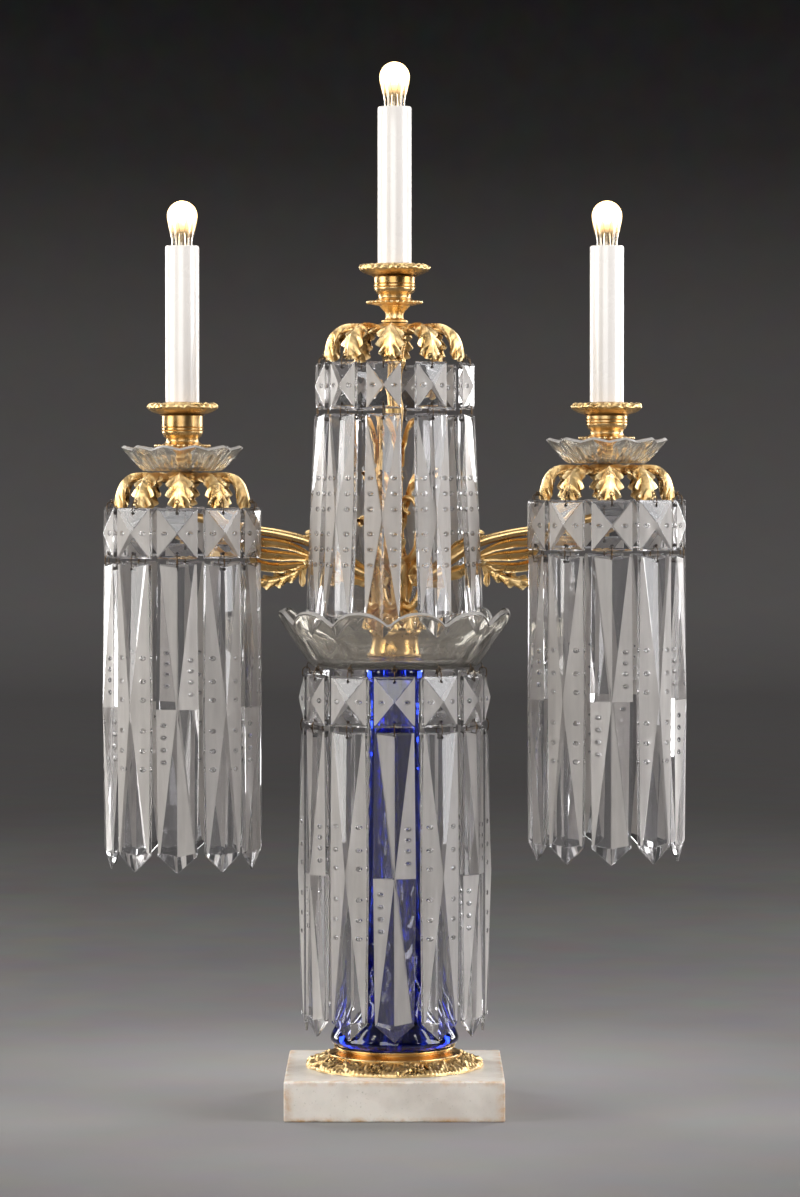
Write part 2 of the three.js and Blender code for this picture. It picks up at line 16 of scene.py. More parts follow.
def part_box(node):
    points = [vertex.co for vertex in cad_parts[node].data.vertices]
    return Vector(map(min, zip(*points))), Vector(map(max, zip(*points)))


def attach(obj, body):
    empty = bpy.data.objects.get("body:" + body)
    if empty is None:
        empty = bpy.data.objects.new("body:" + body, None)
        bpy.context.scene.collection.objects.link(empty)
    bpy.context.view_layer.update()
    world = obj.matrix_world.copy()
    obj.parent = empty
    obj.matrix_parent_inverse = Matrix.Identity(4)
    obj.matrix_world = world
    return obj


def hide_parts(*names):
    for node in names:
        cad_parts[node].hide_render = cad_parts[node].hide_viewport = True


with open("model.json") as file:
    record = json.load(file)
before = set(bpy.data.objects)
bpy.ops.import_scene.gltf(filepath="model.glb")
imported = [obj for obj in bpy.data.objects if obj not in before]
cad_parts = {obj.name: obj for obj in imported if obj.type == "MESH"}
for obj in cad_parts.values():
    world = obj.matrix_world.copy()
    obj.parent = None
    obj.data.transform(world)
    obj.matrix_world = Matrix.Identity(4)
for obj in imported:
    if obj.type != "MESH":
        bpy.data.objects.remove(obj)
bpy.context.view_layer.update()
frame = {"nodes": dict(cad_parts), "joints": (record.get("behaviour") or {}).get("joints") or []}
MM = 0.001
TURN = 2 * math.pi


# %% [markdown]
# ## Camera, floor and light
# Cut glass has no colour of its own: it shows what stands around it. So the light comes first. Two tall
# soft lights at the sides draw the bright edges of the facets, a broad front light fills the ground glass,
# and painted shade makes the backdrop darker than the floor, so that the clear glass can be told from the
# air.

# %% Camera
CAMERA_AT = Vector((0.0035, -2.6, 0.41))
CAMERA_AIM = Vector((0.0035, 0.0, 0.329))
camera_data = bpy.data.cameras.new("camera")
camera_data.lens = 121
camera_data.sensor_width = 36
camera_data.sensor_height = 36
camera_data.sensor_fit = "VERTICAL"
camera = bpy.data.objects.new("camera", camera_data)
camera.location = CAMERA_AT
camera.rotation_euler = (CAMERA_AIM - CAMERA_AT).to_track_quat("-Z", "Y").to_euler()
bpy.context.scene.collection.objects.link(camera)
bpy.context.scene.camera = camera
print("camera:", camera_data.lens, "mm lens at", tuple(CAMERA_AT))


# %% Soft lights
def soft_light(name, place, aim, width, height, watts, colour=(1, 1, 1)):
    data = bpy.data.lights.new(name, "AREA")
    data.shape = "RECTANGLE"
    data.size = width
    data.size_y = height
    data.energy = watts
    data.color = colour
    light = bpy.data.objects.new(name, data)
    light.location = place
    light.visible_camera = False
    light.rotation_euler = (Vector(aim) - Vector(place)).to_track_quat("-Z", "Y").to_euler()
    bpy.context.scene.collection.objects.link(light)


MIDDLE = (0, 0, 0.33)
soft_light("left_light", (-1.5, -0.5, 0.8), MIDDLE, 0.8, 1.5, 27, (1.0, 0.98, 0.95))
soft_light("right_light", (1.5, -0.4, 0.8), MIDDLE, 0.8, 1.5, 28, (0.98, 0.98, 1.0))
soft_light("back_left_light", (-1.2, 1.1, 0.8), MIDDLE, 0.5, 1.4, 20)
soft_light("back_right_light", (1.2, 1.1, 0.8), MIDDLE, 0.5, 1.4, 20)
soft_light("front_light", (-0.5, -2.9, 1.1), MIDDLE, 1.8, 1.4, 36)
soft_light("top_light", (0, 0.2, 2.0), MIDDLE, 1.0, 1.0, 10)

world = bpy.data.worlds.new("studio")
world.use_nodes = True
world.node_tree.nodes["Background"].inputs["Color"].default_value = (0.5, 0.5, 0.52, 1)
world.node_tree.nodes["Background"].inputs["Strength"].default_value = 0.5
bpy.context.scene.world = world
bpy.context.scene.view_settings.view_transform = "Standard"


# %% [markdown]
# ## Finishes
# Every finish but the backdrop is named for the real material and for how its surface was made. The
# gilding also carries painted shade and highlights, and the backdrop paper painted light and shade.
# Colours are written as sRGB hex values, which one function turns to linear. Patterns read Object
# coordinates in metres, so a scale is one over the real size of a grain.

# %% Colour and node helpers
def linear(hex_colour):
    channels = [int(hex_colour[i : i + 2], 16) / 255 for i in (1, 3, 5)]
    return tuple(c / 12.92 if c <= 0.04045 else ((c + 0.055) / 1.055) ** 2.4 for c in channels) + (1.0,)


def grains(size_mm):
    """The texture scale that gives grains of this size."""
    return 1 / (size_mm * MM)


def add_node(tree, kind, inputs=None, **settings):
    """Adds a node. An input that is given a socket, or a node, is linked, and any other value is set.

    A node stands for its first output that is in use.
    """
    node = tree.nodes.new(kind)
    for name, value in settings.items():
        setattr(node, name, value)
    for name, value in (inputs or {}).items():
        if isinstance(value, bpy.types.Node):
            value = next(output for output in value.outputs if output.enabled)
        if isinstance(value, bpy.types.NodeSocket):
            tree.links.new(value, node.inputs[name])
        else:
            node.inputs[name].default_value = value
    return node


def finish_of(name, shader_of):
    """A material whose shader is made by a function of its node tree."""
    material = bpy.data.materials.new(name)
    material.use_nodes = True
    tree = material.node_tree
    tree.nodes.clear()
    shader = shader_of(tree)
    add_node(tree, "ShaderNodeOutputMaterial", {"Surface": shader})
    print("finish:", name, len(tree.nodes), "nodes")
    return material


# %% [markdown]
# ### Marble
# White marble, honed: a matt stone that lets a little light in. Handling has stained it ochre along its
# edges, and it has faint grey clouds and specks. The edge mask is worked out from how near a point is to
# the sides of the block.

# %% Honed marble
BASE_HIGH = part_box("marble_base")[1]
BASE_HALF = BASE_HIGH.x


def honed_marble(tree):
    place = add_node(tree, "ShaderNodeTexCoord").outputs["Object"]
    clouds = add_node(tree, "ShaderNodeTexNoise", {"Vector": place, "Scale": grains(28), "Detail": 6})
    specks = add_node(tree, "ShaderNodeTexNoise", {"Vector": place, "Scale": grains(1.6), "Detail": 3})
    stains = add_node(
        tree, "ShaderNodeTexNoise", {"Vector": place, "Scale": grains(11), "Detail": 5, "Roughness": 0.7}
    )
    cloud = add_node(tree, "ShaderNodeMapRange", {"Value": clouds, "From Min": 0.42, "From Max": 0.66})
    speck = add_node(tree, "ShaderNodeMapRange", {"Value": specks, "From Min": 0.63, "From Max": 0.8})
    body = add_node(
        tree, "ShaderNodeMix", {0: cloud, 6: linear("#DDD6CC"), 7: linear("#C6BEB4")},
        data_type="RGBA",
    )
    specked = add_node(tree, "ShaderNodeMix", {0: speck, 6: body, 7: linear("#ADA598")}, data_type="RGBA")
    # How near the point is to the outer sides and to the top or bottom edge, with the stains added.
    axes = add_node(tree, "ShaderNodeSeparateXYZ", {0: place})
    across = add_node(tree, "ShaderNodeMath", {0: axes.outputs["X"]}, operation="ABSOLUTE")
    along = add_node(tree, "ShaderNodeMath", {0: axes.outputs["Y"]}, operation="ABSOLUTE")
    far = add_node(tree, "ShaderNodeMath", {0: across, 1: along}, operation="MAXIMUM")
    near = add_node(tree, "ShaderNodeMath", {0: across, 1: along}, operation="MINIMUM")
    half = BASE_HIGH.z / 2
    off_mid = add_node(tree, "ShaderNodeMath", {0: axes.outputs["Z"], 1: half}, operation="SUBTRACT")
    high = add_node(tree, "ShaderNodeMath", {0: off_mid}, operation="ABSOLUTE")
    side = add_node(
        tree, "ShaderNodeMapRange",
        {"Value": far, "From Min": BASE_HALF - 0.006, "From Max": BASE_HALF - 0.0003},
    )
    edge = add_node(
        tree, "ShaderNodeMapRange",
        {"Value": high, "From Min": half - 0.004, "From Max": half - 0.0006},
    )
    corner = add_node(
        tree, "ShaderNodeMapRange",
        {"Value": near, "From Min": BASE_HALF - 0.007, "From Max": BASE_HALF - 0.001},
    )
    rim = add_node(tree, "ShaderNodeMath", {0: edge, 1: corner}, operation="MAXIMUM")
    worn = add_node(tree, "ShaderNodeMath", {0: rim, 1: side}, operation="MULTIPLY")
    blotch = add_node(tree, "ShaderNodeMapRange", {"Value": stains, "From Min": 0.4, "From Max": 0.72})
    stain = add_node(tree, "ShaderNodeMath", {0: worn, 1: blotch}, operation="MULTIPLY")
    stained = add_node(
        tree, "ShaderNodeMix", {0: stain, 6: specked, 7: linear("#B98A4E")},
        data_type="RGBA",
    )
    polish = add_node(tree, "ShaderNodeMapRange", {"Value": clouds, "To Min": 0.3, "To Max": 0.5})
    bump = add_node(tree, "ShaderNodeBump", {"Height": specks, "Strength": 0.25, "Distance": 0.1 * MM})
    return add_node(
        tree, "ShaderNodeBsdfPrincipled",
        {
            "Base Color": stained, "Roughness": polish, "IOR": 1.49,
            "Subsurface Weight": 0.12, "Subsurface Scale": 3 * MM, "Normal": bump,
        },
    )


MARBLE = finish_of("marble_honed", honed_marble)


# %% [markdown]
# ### Gilding
# Ormolu: cast brass, chased by hand and then fire-gilt. Two finishes meet on it. Leaves and scrolls are
# left matt and grainy, and turned bands are burnished with a hard stone until they reflect like a mirror.
# On both, the hollows get painted shade and the crests a painted highlight, which Pointiness tells apart
# on a dense mesh, and noise patches are lightened part way to the highlight colour.

# %% Two gildings
def gilding(painted_shade_colour, body, painted_highlight_colour, smooth, rough, grain_mm, depth_mm):
    def shader(tree):
        place = add_node(tree, "ShaderNodeTexCoord").outputs["Object"]
        grain = add_node(
            tree, "ShaderNodeTexNoise", {"Vector": place, "Scale": grains(grain_mm), "Detail": 5}
        )
        wear = add_node(tree, "ShaderNodeTexNoise", {"Vector": place, "Scale": grains(14), "Detail": 3})
        point = add_node(tree, "ShaderNodeNewGeometry").outputs["Pointiness"]
        # Painted shade: the hollows, found by Pointiness, are darkened to the first colour.
        clear_of_painted_shade = add_node(
            tree, "ShaderNodeMapRange", {"Value": point, "From Min": 0.455, "From Max": 0.505}
        )
        # Painted highlight: the crests are lightened to the third colour, and noise patches part way to it.
        painted_highlight_mask = add_node(tree, "ShaderNodeMapRange", {"Value": point, "From Min": 0.5, "From Max": 0.58})
        low = add_node(
            tree, "ShaderNodeMix", {0: clear_of_painted_shade, 6: linear(painted_shade_colour), 7: linear(body)},
            data_type="RGBA",
        )
        patch = add_node(
            tree, "ShaderNodeMapRange",
            {"Value": wear, "From Min": 0.4, "From Max": 0.65, "To Max": 0.5},
        )
        light = add_node(tree, "ShaderNodeMath", {0: painted_highlight_mask, 1: patch}, operation="MAXIMUM")
        colour = add_node(tree, "ShaderNodeMix", {0: light, 6: low, 7: linear(painted_highlight_colour)}, data_type="RGBA")
        roughness = add_node(
            tree, "ShaderNodeMapRange",
            {"Value": wear, "From Min": 0.3, "From Max": 0.7, "To Min": smooth, "To Max": rough},
        )
        bump = add_node(
            tree, "ShaderNodeBump", {"Height": grain, "Strength": 0.7, "Distance": depth_mm * MM}
        )
        return add_node(
            tree, "ShaderNodeBsdfPrincipled",
            {"Base Color": colour, "Metallic": 1.0, "Roughness": roughness, "Normal": bump},
        )

    return shader


# Of each gilding's three colours, the first is painted shade in the hollows and the third a painted
# highlight on the crests.
# The grain of the casting is finer than this on the real piece. It is drawn coarse enough to show.
CAST_GILT = finish_of(
    "ormolu_cast_and_chased", gilding("#50351A", "#CFA564", "#F2D8A4", 0.22, 0.38, 1.3, 0.45)
)
BURNISHED_GILT = finish_of(
    "ormolu_burnished", gilding("#8C6632", "#D4AC70", "#ECCF9A", 0.22, 0.36, 5, 0.05)
)


# %% [markdown]
# ### Glass
# Lead crystal is cut on a wheel. A facet that is polished afterwards is clear, and one that is left from
# the stone is ground: it scatters light and looks pale grey. Cobalt turns glass so deep a blue that it is
# nearly black where it is thick. All of them are solid closed meshes, so the light bends through them.

# %% Glass finishes
def clear_glass(tint, shade, ior, smear, through=1.0):
    def shader(tree):
        place = add_node(tree, "ShaderNodeTexCoord").outputs["Object"]
        cords = add_node(tree, "ShaderNodeTexNoise", {"Vector": place, "Scale": grains(9), "Detail": 2})
        colour = add_node(
            tree, "ShaderNodeMix", {0: cords, 6: linear(tint), 7: linear(shade)},
            data_type="RGBA",
        )
        gloss = add_node(tree, "ShaderNodeMapRange", {"Value": cords, "To Min": 0.0, "To Max": smear})
        return add_node(
            tree, "ShaderNodeBsdfPrincipled",
            {"Base Color": colour, "Roughness": gloss, "IOR": ior, "Transmission Weight": through},
        )

    return shader


def ground_glass(pale, deep, through, grit_mm):
    def shader(tree):
        place = add_node(tree, "ShaderNodeTexCoord").outputs["Object"]
        grit = add_node(
            tree, "ShaderNodeTexNoise", {"Vector": place, "Scale": grains(grit_mm), "Detail": 3}
        )
        drawn = add_node(tree, "ShaderNodeMapping", {"Vector": place, "Scale": (1, 1, 0.12)})
        drag = add_node(
            tree, "ShaderNodeTexNoise",
            {"Vector": drawn, "Scale": grains(4), "Detail": 4, "Roughness": 0.6},
        )
        colour = add_node(
            tree, "ShaderNodeMix", {0: drag, 6: linear(pale), 7: linear(deep)}, data_type="RGBA",
        )
        bump = add_node(tree, "ShaderNodeBump", {"Height": grit, "Strength": 0.3, "Distance": 0.06 * MM})
        return add_node(
            tree, "ShaderNodeBsdfPrincipled",
            {
                "Base Color": colour, "Roughness": 0.5, "IOR": 1.54,
                "Transmission Weight": through, "Normal": bump,
            },
        )

    return shader


POLISHED_CRYSTAL = finish_of("lead_crystal_polished", clear_glass("#FFFFFF", "#F1EFF2", 1.54, 0.02, 0.97))
GROUND_CRYSTAL = finish_of("lead_crystal_ground", ground_glass("#E2DDD8", "#AEA9A4", 0.55, 0.5))
DRILLED_CRYSTAL = finish_of("lead_crystal_drilled", ground_glass("#4A3E34", "#241C15", 0.1, 0.4))
PRESSED_GLASS = finish_of("clear_glass_cut_dish", clear_glass("#FBF7EE", "#F1ECE2", 1.52, 0.03, 0.94))
COBALT_GLASS = finish_of("cobalt_glass_cut", clear_glass("#2844D8", "#1422A0", 1.52, 0.04))


# %% [markdown]
# ### Small fittings
# The candle sleeve is a glossy off-white tube. The bolt is drawn steel, the pins are darkened wire, and
# the lampholder and the cable gland are black moulded phenolic. The lamps are clear glass with a glowing
# filament, and the glass around it glows a little too.

# %% Fittings
def mottled(pale, deep, grain_mm, metallic, smooth, rough, depth_mm, coat=0.0):
    def shader(tree):
        place = add_node(tree, "ShaderNodeTexCoord").outputs["Object"]
        mottle = add_node(
            tree, "ShaderNodeTexNoise", {"Vector": place, "Scale": grains(grain_mm), "Detail": 4}
        )
        colour = add_node(
            tree, "ShaderNodeMix", {0: mottle, 6: linear(pale), 7: linear(deep)},
            data_type="RGBA",
        )
        roughness = add_node(
            tree, "ShaderNodeMapRange", {"Value": mottle, "To Min": smooth, "To Max": rough}
        )
        bump = add_node(
            tree, "ShaderNodeBump", {"Height": mottle, "Strength": 0.4, "Distance": depth_mm * MM}
        )
        return add_node(
            tree, "ShaderNodeBsdfPrincipled",
            {
                "Base Color": colour, "Metallic": metallic, "Roughness": roughness,
                "Coat Weight": coat, "Coat Roughness": 0.08, "Normal": bump,
            },
        )

    return shader


SLEEVE_WHITE = finish_of("sleeve_glazed_white", mottled("#EFEAE4", "#E2DCD5", 22, 0.0, 0.2, 0.36, 0.05, 0.6))
DRAWN_STEEL = finish_of("steel_drawn_rod", mottled("#A9A9A4", "#82827E", 3, 1.0, 0.25, 0.5, 0.05))
DARK_WIRE = finish_of("brass_wire_darkened", mottled("#6B5436", "#2F261C", 2, 1.0, 0.3, 0.5, 0.03))
BLACK_PHENOLIC = finish_of("phenolic_moulded_black", mottled("#1C1B1A", "#0F0E0E", 4, 0.0, 0.3, 0.5, 0.05))
LAMP_CAP = finish_of("brass_lamp_cap", mottled("#C9A050", "#9A7430", 3, 1.0, 0.25, 0.4, 0.05))


def lit_glass(tree):
    place = add_node(tree, "ShaderNodeTexCoord").outputs["Object"]
    film = add_node(tree, "ShaderNodeTexNoise", {"Vector": place, "Scale": grains(6), "Detail": 2})
    glow = add_node(
        tree, "ShaderNodeMix", {0: film, 6: linear("#FFE3B0"), 7: linear("#FFD390")},
        data_type="RGBA",
    )
    # The mesh says how near each point is to the filament, from 0 at the neck to 1 at the globe.
    near = add_node(tree, "ShaderNodeAttribute", attribute_name="glow")
    strength = add_node(tree, "ShaderNodeMapRange", {"Value": near.outputs["Fac"], "To Max": 1.5})
    return add_node(
        tree, "ShaderNodeBsdfPrincipled",
        {
            "Base Color": linear("#FFF6E6"), "Roughness": 0.02, "IOR": 1.5, "Transmission Weight": 1.0,
            "Emission Color": glow, "Emission Strength": strength,
        },
    )


def hot_filament(tree):
    place = add_node(tree, "ShaderNodeTexCoord").outputs["Object"]
    heat = add_node(tree, "ShaderNodeTexNoise", {"Vector": place, "Scale": grains(2)})
    glow = add_node(
        tree, "ShaderNodeMix", {0: heat, 6: linear("#FFF0C8"), 7: linear("#FFC870")},
        data_type="RGBA",
    )
    return add_node(
        tree, "ShaderNodeBsdfPrincipled",
        {
            "Base Color": linear("#3A3430"), "Roughness": 0.4, "Emission Color": glow,
            "Emission Strength": 400.0,
        },
    )


LAMP_GLASS = finish_of("lamp_glass_lit", lit_glass)
FILAMENT = finish_of("tungsten_filament_hot", hot_filament)


# %% [markdown]
# ## Shape helpers
# Most of this lamp was turned, cast or drawn, so a few makers do nearly all of it: an outline turned about
# an upright axis, a smooth line through a few points, a tube swept along a line, and a leaf. Each one
# gives vertices and faces, and one function makes the piece from them, merges doubles and turns every
# face outwards.

# %% Making a piece
def moved(shape, matrix):
    verts, faces = shape
    return [matrix @ Vector(v) for v in verts], faces


def together(*shapes):
    verts = []
    faces = []
    for more_verts, more_faces in shapes:
        start = len(verts)
        verts += [Vector(v) for v in more_verts]
        faces += [tuple(start + i for i in face) for face in more_faces]
    return verts, faces


def set_about(x, y, z, turn=0.0):
    return Matrix.Translation((x, y, z)) @ Matrix.Rotation(turn, 4, "Z")


def new_piece(name, shape, *finishes, sharp=40):
    verts, faces = shape
    mesh = bpy.data.meshes.new(name)
    mesh.from_pydata([Vector(v) * MM for v in verts], [], faces)
    for finish in finishes:
        mesh.materials.append(finish)
    clean = bmesh.new()
    clean.from_mesh(mesh)
    bmesh.ops.remove_doubles(clean, verts=clean.verts, dist=1e-7)
    bmesh.ops.dissolve_degenerate(clean, edges=clean.edges, dist=1e-8)
    bmesh.ops.recalc_face_normals(clean, faces=clean.faces)
    clean.to_mesh(mesh)
    clean.free()
    mesh.shade_smooth()
    mesh.set_sharp_from_angle(angle=math.radians(sharp))
    piece = bpy.data.objects.new(name, mesh)
    bpy.context.scene.collection.objects.link(piece)
    return piece


def settle(piece, body, slot, *nodes):
    """Puts a finished piece on its body and hides the CAD nodes that it stands for. The slot is not used."""
    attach(piece, body)
    if nodes:
        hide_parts(*nodes)
    print("piece:", piece.name, len(piece.data.polygons), "faces")


def box_mm(node):
    low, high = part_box(node)
    return low / MM, high / MM


def middle_mm(node):
    """The axis of a round node, and its lowest and highest point."""
    low, high = box_mm(node)
    return (low.x + high.x) / 2, (low.y + high.y) / 2, low.z, high.z


# %% Turning and smooth lines
def smooth_step(value, low, high):
    share = min(max((value - low) / (high - low), 0), 1)
    return share * share * (3 - 2 * share)


def curve_through(points, steps):
    """A smooth line through the points, with this many steps from each to the next."""
    known = [Vector(p) for p in points]
    held = [2 * known[0] - known[1], *known, 2 * known[-1] - known[-2]]
    line = []
    for a, b, c, d in zip(held, held[1:], held[2:], held[3:]):
        for k in range(steps):
            t = k / steps
            bend = (2 * a - 5 * b + 4 * c - d) * t * t + (3 * b - a - 3 * c + d) * t**3
            line.append((2 * b + (c - a) * t + bend) / 2)
    return [*line, known[-1]]


def flat(points):
    """The points of a line as plain (radius, height) pairs."""
    return [(p.x, p.y) for p in points]


def turned(outline, steps, rule=None):
    """An outline of (radius, height) turned about Z. If it ends off the axis it closes on itself."""
    count = len(outline)
    on_axis = outline[0][0] == 0 and outline[-1][0] == 0
    verts = []
    faces = []
    for k in range(steps):
        turn = TURN * k / steps
        for radius, height in outline:
            if rule and radius > 0:
                radius, height = rule(turn, radius, height)
            verts.append(Vector((radius * math.cos(turn), radius * math.sin(turn), height)))
    for k in range(steps):
        here = k * count
        there = (k + 1) % steps * count
        for i in range(count - 1 if on_axis else count):
            j = (i + 1) % count
            faces.append((here + i, there + i, there + j, here + j))
    return verts, faces


def cut_away(piece, shape):
    """Cuts a closed shape out of a piece."""
    tool = new_piece("tool", shape, *piece.data.materials)
    cut = piece.modifiers.new("cut", "BOOLEAN")
    cut.operation = "DIFFERENCE"
    cut.solver = "EXACT"
    cut.object = tool
    bake_modifiers(piece)
    bpy.data.objects.remove(tool)


def bake_modifiers(piece):
    """Turns what the modifiers make into the piece's own plain mesh, and takes them off."""
    graph = bpy.context.evaluated_depsgraph_get()
    made = bpy.data.meshes.new_from_object(piece.evaluated_get(graph), depsgraph=graph)
    piece.modifiers.clear()
    piece.data = made


# %% [markdown]
# ## Marble block
# A square of marble sawn from a slab, its edges softened by a century of handling. It could be a bevelled
# cube, but real edges are worn unevenly, so each side is a grid and every vertex near an edge is drawn
# in to a round whose radius wanders. The bolt's counterbore and the hole for the lead are cut afterwards.

# %% Marble block
EDGE_WEAR = 1.1


def worn_block(half, height):
    steps = [-half + 2.5 * k for k in range(int(2 * half / 2.5) + 1)]
    level = sorted({*steps, *[side * (half - inset) for side in (-1, 1) for inset in (0.3, 0.7, 1.2, 1.8)]})
    tall = [0, 0.3, 0.7, 1.2, 1.8, *[height * k / 8 for k in range(1, 8)]]
    tall = sorted({*tall, *[height - z for z in (0, 0.3, 0.7, 1.2, 1.8)]})
    verts = []
    faces = []
    axes = (level, level, tall)
    for fixed in range(3):
        first, second = [axis for axis in range(3) if axis != fixed]
        for end in (axes[fixed][0], axes[fixed][-1]):
            start = len(verts)
            for a in axes[first]:
                for b in axes[second]:
                    corner = [0, 0, 0]
                    corner[fixed] = end
                    corner[first] = a
                    corner[second] = b
                    verts.append(worn(Vector(corner), half, height))
            rows = len(axes[second])
            for i in range(len(axes[first]) - 1):
                for j in range(rows - 1):
                    k = start + i * rows + j
                    faces.append((k, k + rows, k + rows + 1, k + 1))
    return verts, faces


def worn(point, half, height):
    chip = max(0, noise.noise(point * 0.13) - 0.18) * 3
    radius = EDGE_WEAR + chip + 0.25 * noise.noise(point * 0.6)
    x, y = [min(max(value, radius - half), half - radius) for value in (point.x, point.y)]
    inside = Vector((x, y, min(max(point.z, radius), height - radius)))
    out = point - inside
    return inside + out.normalized() * min(radius, out.length) if out.length > 0 else point


_, _, bolt_low, bolt_high = middle_mm("tie_bolt")
BUSH_LOW, BUSH_HIGH = box_mm("lead_bushing")
LEAD_HEIGHT = (BUSH_LOW.z + BUSH_HIGH.z) / 2
COUNTERBORE = (14, 12)
BORE = 5.3
LEAD_BORE = 4.7
block_half = BASE_HALF / MM
block = new_piece("marble_block", worn_block(block_half, BASE_HIGH.z / MM), MARBLE, sharp=60)
rod_hole = turned([(0, -1), (BORE, -1), (BORE, 30), (0, 30)], 32)
counterbore = turned([(0, -1), (COUNTERBORE[0], -1), COUNTERBORE, (0, COUNTERBORE[1])], 48)
lead_hole = moved(
    turned([(0, 0), (LEAD_BORE, 0), (LEAD_BORE, 80), (0, 80)], 24),
    Matrix.Translation((0, 0, LEAD_HEIGHT)) @ Matrix.Rotation(math.radians(-90), 4, "X"),
)
for hole in (rod_hole, counterbore, lead_hole):
    cut_away(block, hole)
settle(block, "stand", "marble", "marble_base")


# %% [markdown]
# ## Tie bolt and cable gland
# A hollow steel bolt with a hexagonal head draws the whole lamp together, and the lead comes out at the
# back through a moulded gland. Both are turned pieces; the hexagon is a turned outline with six steps.

# %% Tie bolt and gland
HEAD_HEIGHT = 6
ROD = 4.8
ROD_HOLE = 3
head_top = bolt_low + HEAD_HEIGHT
head = turned([(ROD_HOLE, bolt_low), (10.5, bolt_low), (10.5, head_top), (ROD_HOLE, head_top)], 6)
shank_outline = [(ROD_HOLE, head_top - 1), (ROD, head_top - 1), (ROD, bolt_high), (ROD_HOLE, bolt_high)]
bolt = new_piece("tie_bolt_steel", together(head, turned(shank_outline, 32)), DRAWN_STEEL)
settle(bolt, "stand", "steel", "tie_bolt")

gland_side = curve_through([(4.2, -12), (4.3, -2), (4.3, 0.3)], 4)
gland_side += curve_through([(6.4, 0.3), (6.4, 1.2), (5.6, 2), (3.2, 2.1)], 4)
gland_outline = [*flat(gland_side), (2.4, 1.4), (2.4, -12)]
gland = moved(
    turned(gland_outline, 48),
    Matrix.Translation((0, block_half, LEAD_HEIGHT)) @ Matrix.Rotation(math.radians(-90), 4, "X"),
)
gland = new_piece("cable_gland", gland, BLACK_PHENOLIC)
settle(gland, "stand", "black_fitting", "lead_bushing")


# %% [markdown]
# ## Foot mount
# A cast skirt of shells and scrolls lies on the marble, and a burnished ring stands on it and holds the
# glass. The skirt is turned, and its upper side is then raised by a rule: a fan of ribs for each shell,
# a curved ridge over each fan, a curl on each side of it, fine ribs at the rim and the grain of the mould.

# %% Foot mount
_, _, foot_low, foot_high = middle_mm("foot_mount")
FOOT_RADIUS = box_mm("foot_mount")[1].x
SHELLS = 14
SKIRT_INNER = 41


def shell_relief(turn, radius, height):
    lobe = turn * SHELLS / TURN
    across = (lobe - math.floor(lobe)) - 0.5
    out = (radius - SKIRT_INNER) / (FOOT_RADIUS - SKIRT_INNER)
    radius -= 1.3 * (2 * across) ** 2 * out
    if height < 0.9:
        return radius, height
    wide = across * 1.5
    ring = math.hypot(wide, out + 0.15)
    fan = 0.5 + 0.5 * math.cos(math.atan2(wide, out + 0.15) * 15)
    rise = 1.5 * fan * math.exp(-(((ring - 0.7) / 0.3) ** 2))
    rise += 1.2 * math.exp(-(((ring - 1.04) / 0.08) ** 2))
    for side in (-1, 1):
        curl = math.hypot(wide - side * 0.58, out - 0.4)
        rise += 1.0 * math.exp(-(((curl - 0.17) / 0.06) ** 2)) + 0.8 * math.exp(-((curl / 0.06) ** 2))
    rise += 0.35 * math.cos(turn * SHELLS * 9) * smooth_step(out, 0.7, 0.95)
    rise += 0.9 * noise.noise(Vector((turn * 34, radius * 0.7, 0)))
    return radius, height + rise * smooth_step(out, -0.05, 0.12)


skirt_top = [(SKIRT_INNER + k * (FOOT_RADIUS - SKIRT_INNER) / 26, 7.2 - 5.6 * k / 26) for k in range(27)]
skirt_outline = [(SKIRT_INNER - 4, 0), (FOOT_RADIUS, 0), (FOOT_RADIUS, 0.8), *reversed(skirt_top)]
skirt_outline += [(SKIRT_INNER - 4, 7.6)]
skirt = new_piece(
    "foot_skirt_cast", moved(turned(skirt_outline, SHELLS * 54, shell_relief), set_about(0, 0, foot_low)),
    CAST_GILT, sharp=75,
)
settle(skirt, "stand", "gilt", "foot_mount")

ring_side = curve_through([(43, 7.4), (42.6, 8.6), (39.4, 9.4), (37.2, 10.6), (37.4, 11.6)], 6)
ring_side += curve_through([(38.8, 12), (39.2, 12.7), (38.6, foot_high - foot_low)], 5)
ring_outline = flat(ring_side) + [(34, foot_high - foot_low), (34, 6.6), (42.6, 6.6)]
ring = new_piece(
    "foot_ring_burnished", moved(turned(ring_outline, 128), set_about(0, 0, foot_low)), BURNISHED_GILT
)
settle(ring, "stand", "gilt")


# %% [markdown]
# ## Cobalt pedestal
# A blown and cut pillar: the foot is left round and glossy, and the stem is cut all over with staggered
# oval scoops, like a honeycomb. Each scoop is a small lens, and that is where its bright glints come
# from. The rule finds the nearest scoop to a point and sinks the surface into it.

# %% Cobalt pedestal
_, _, pillar_low, pillar_high = middle_mm("glass_pedestal")
PILLAR_HEIGHT = pillar_high - pillar_low
SCOOPS_ROUND = 10
SCOOP_PITCH = 19
SCOOP_DEPTH = 0.1
CUT_FROM = 34


def scooped(turn, radius, height):
    if radius < 15.5 or height > PILLAR_HEIGHT - 9 or height < 6:
        return radius, height
    column = turn * SCOOPS_ROUND / TURN
    deepest = 0
    for near in (math.floor(column), math.floor(column) + 1):
        row = height / SCOOP_PITCH - 0.5 * (near % 2)
        off = ((column - near) / 0.68) ** 2 + ((row - round(row)) / 0.62) ** 2
        deepest = max(deepest, 1 - off)
    return radius * (1 - SCOOP_DEPTH * deepest * smooth_step(height, CUT_FROM - 14, CUT_FROM + 10)), height


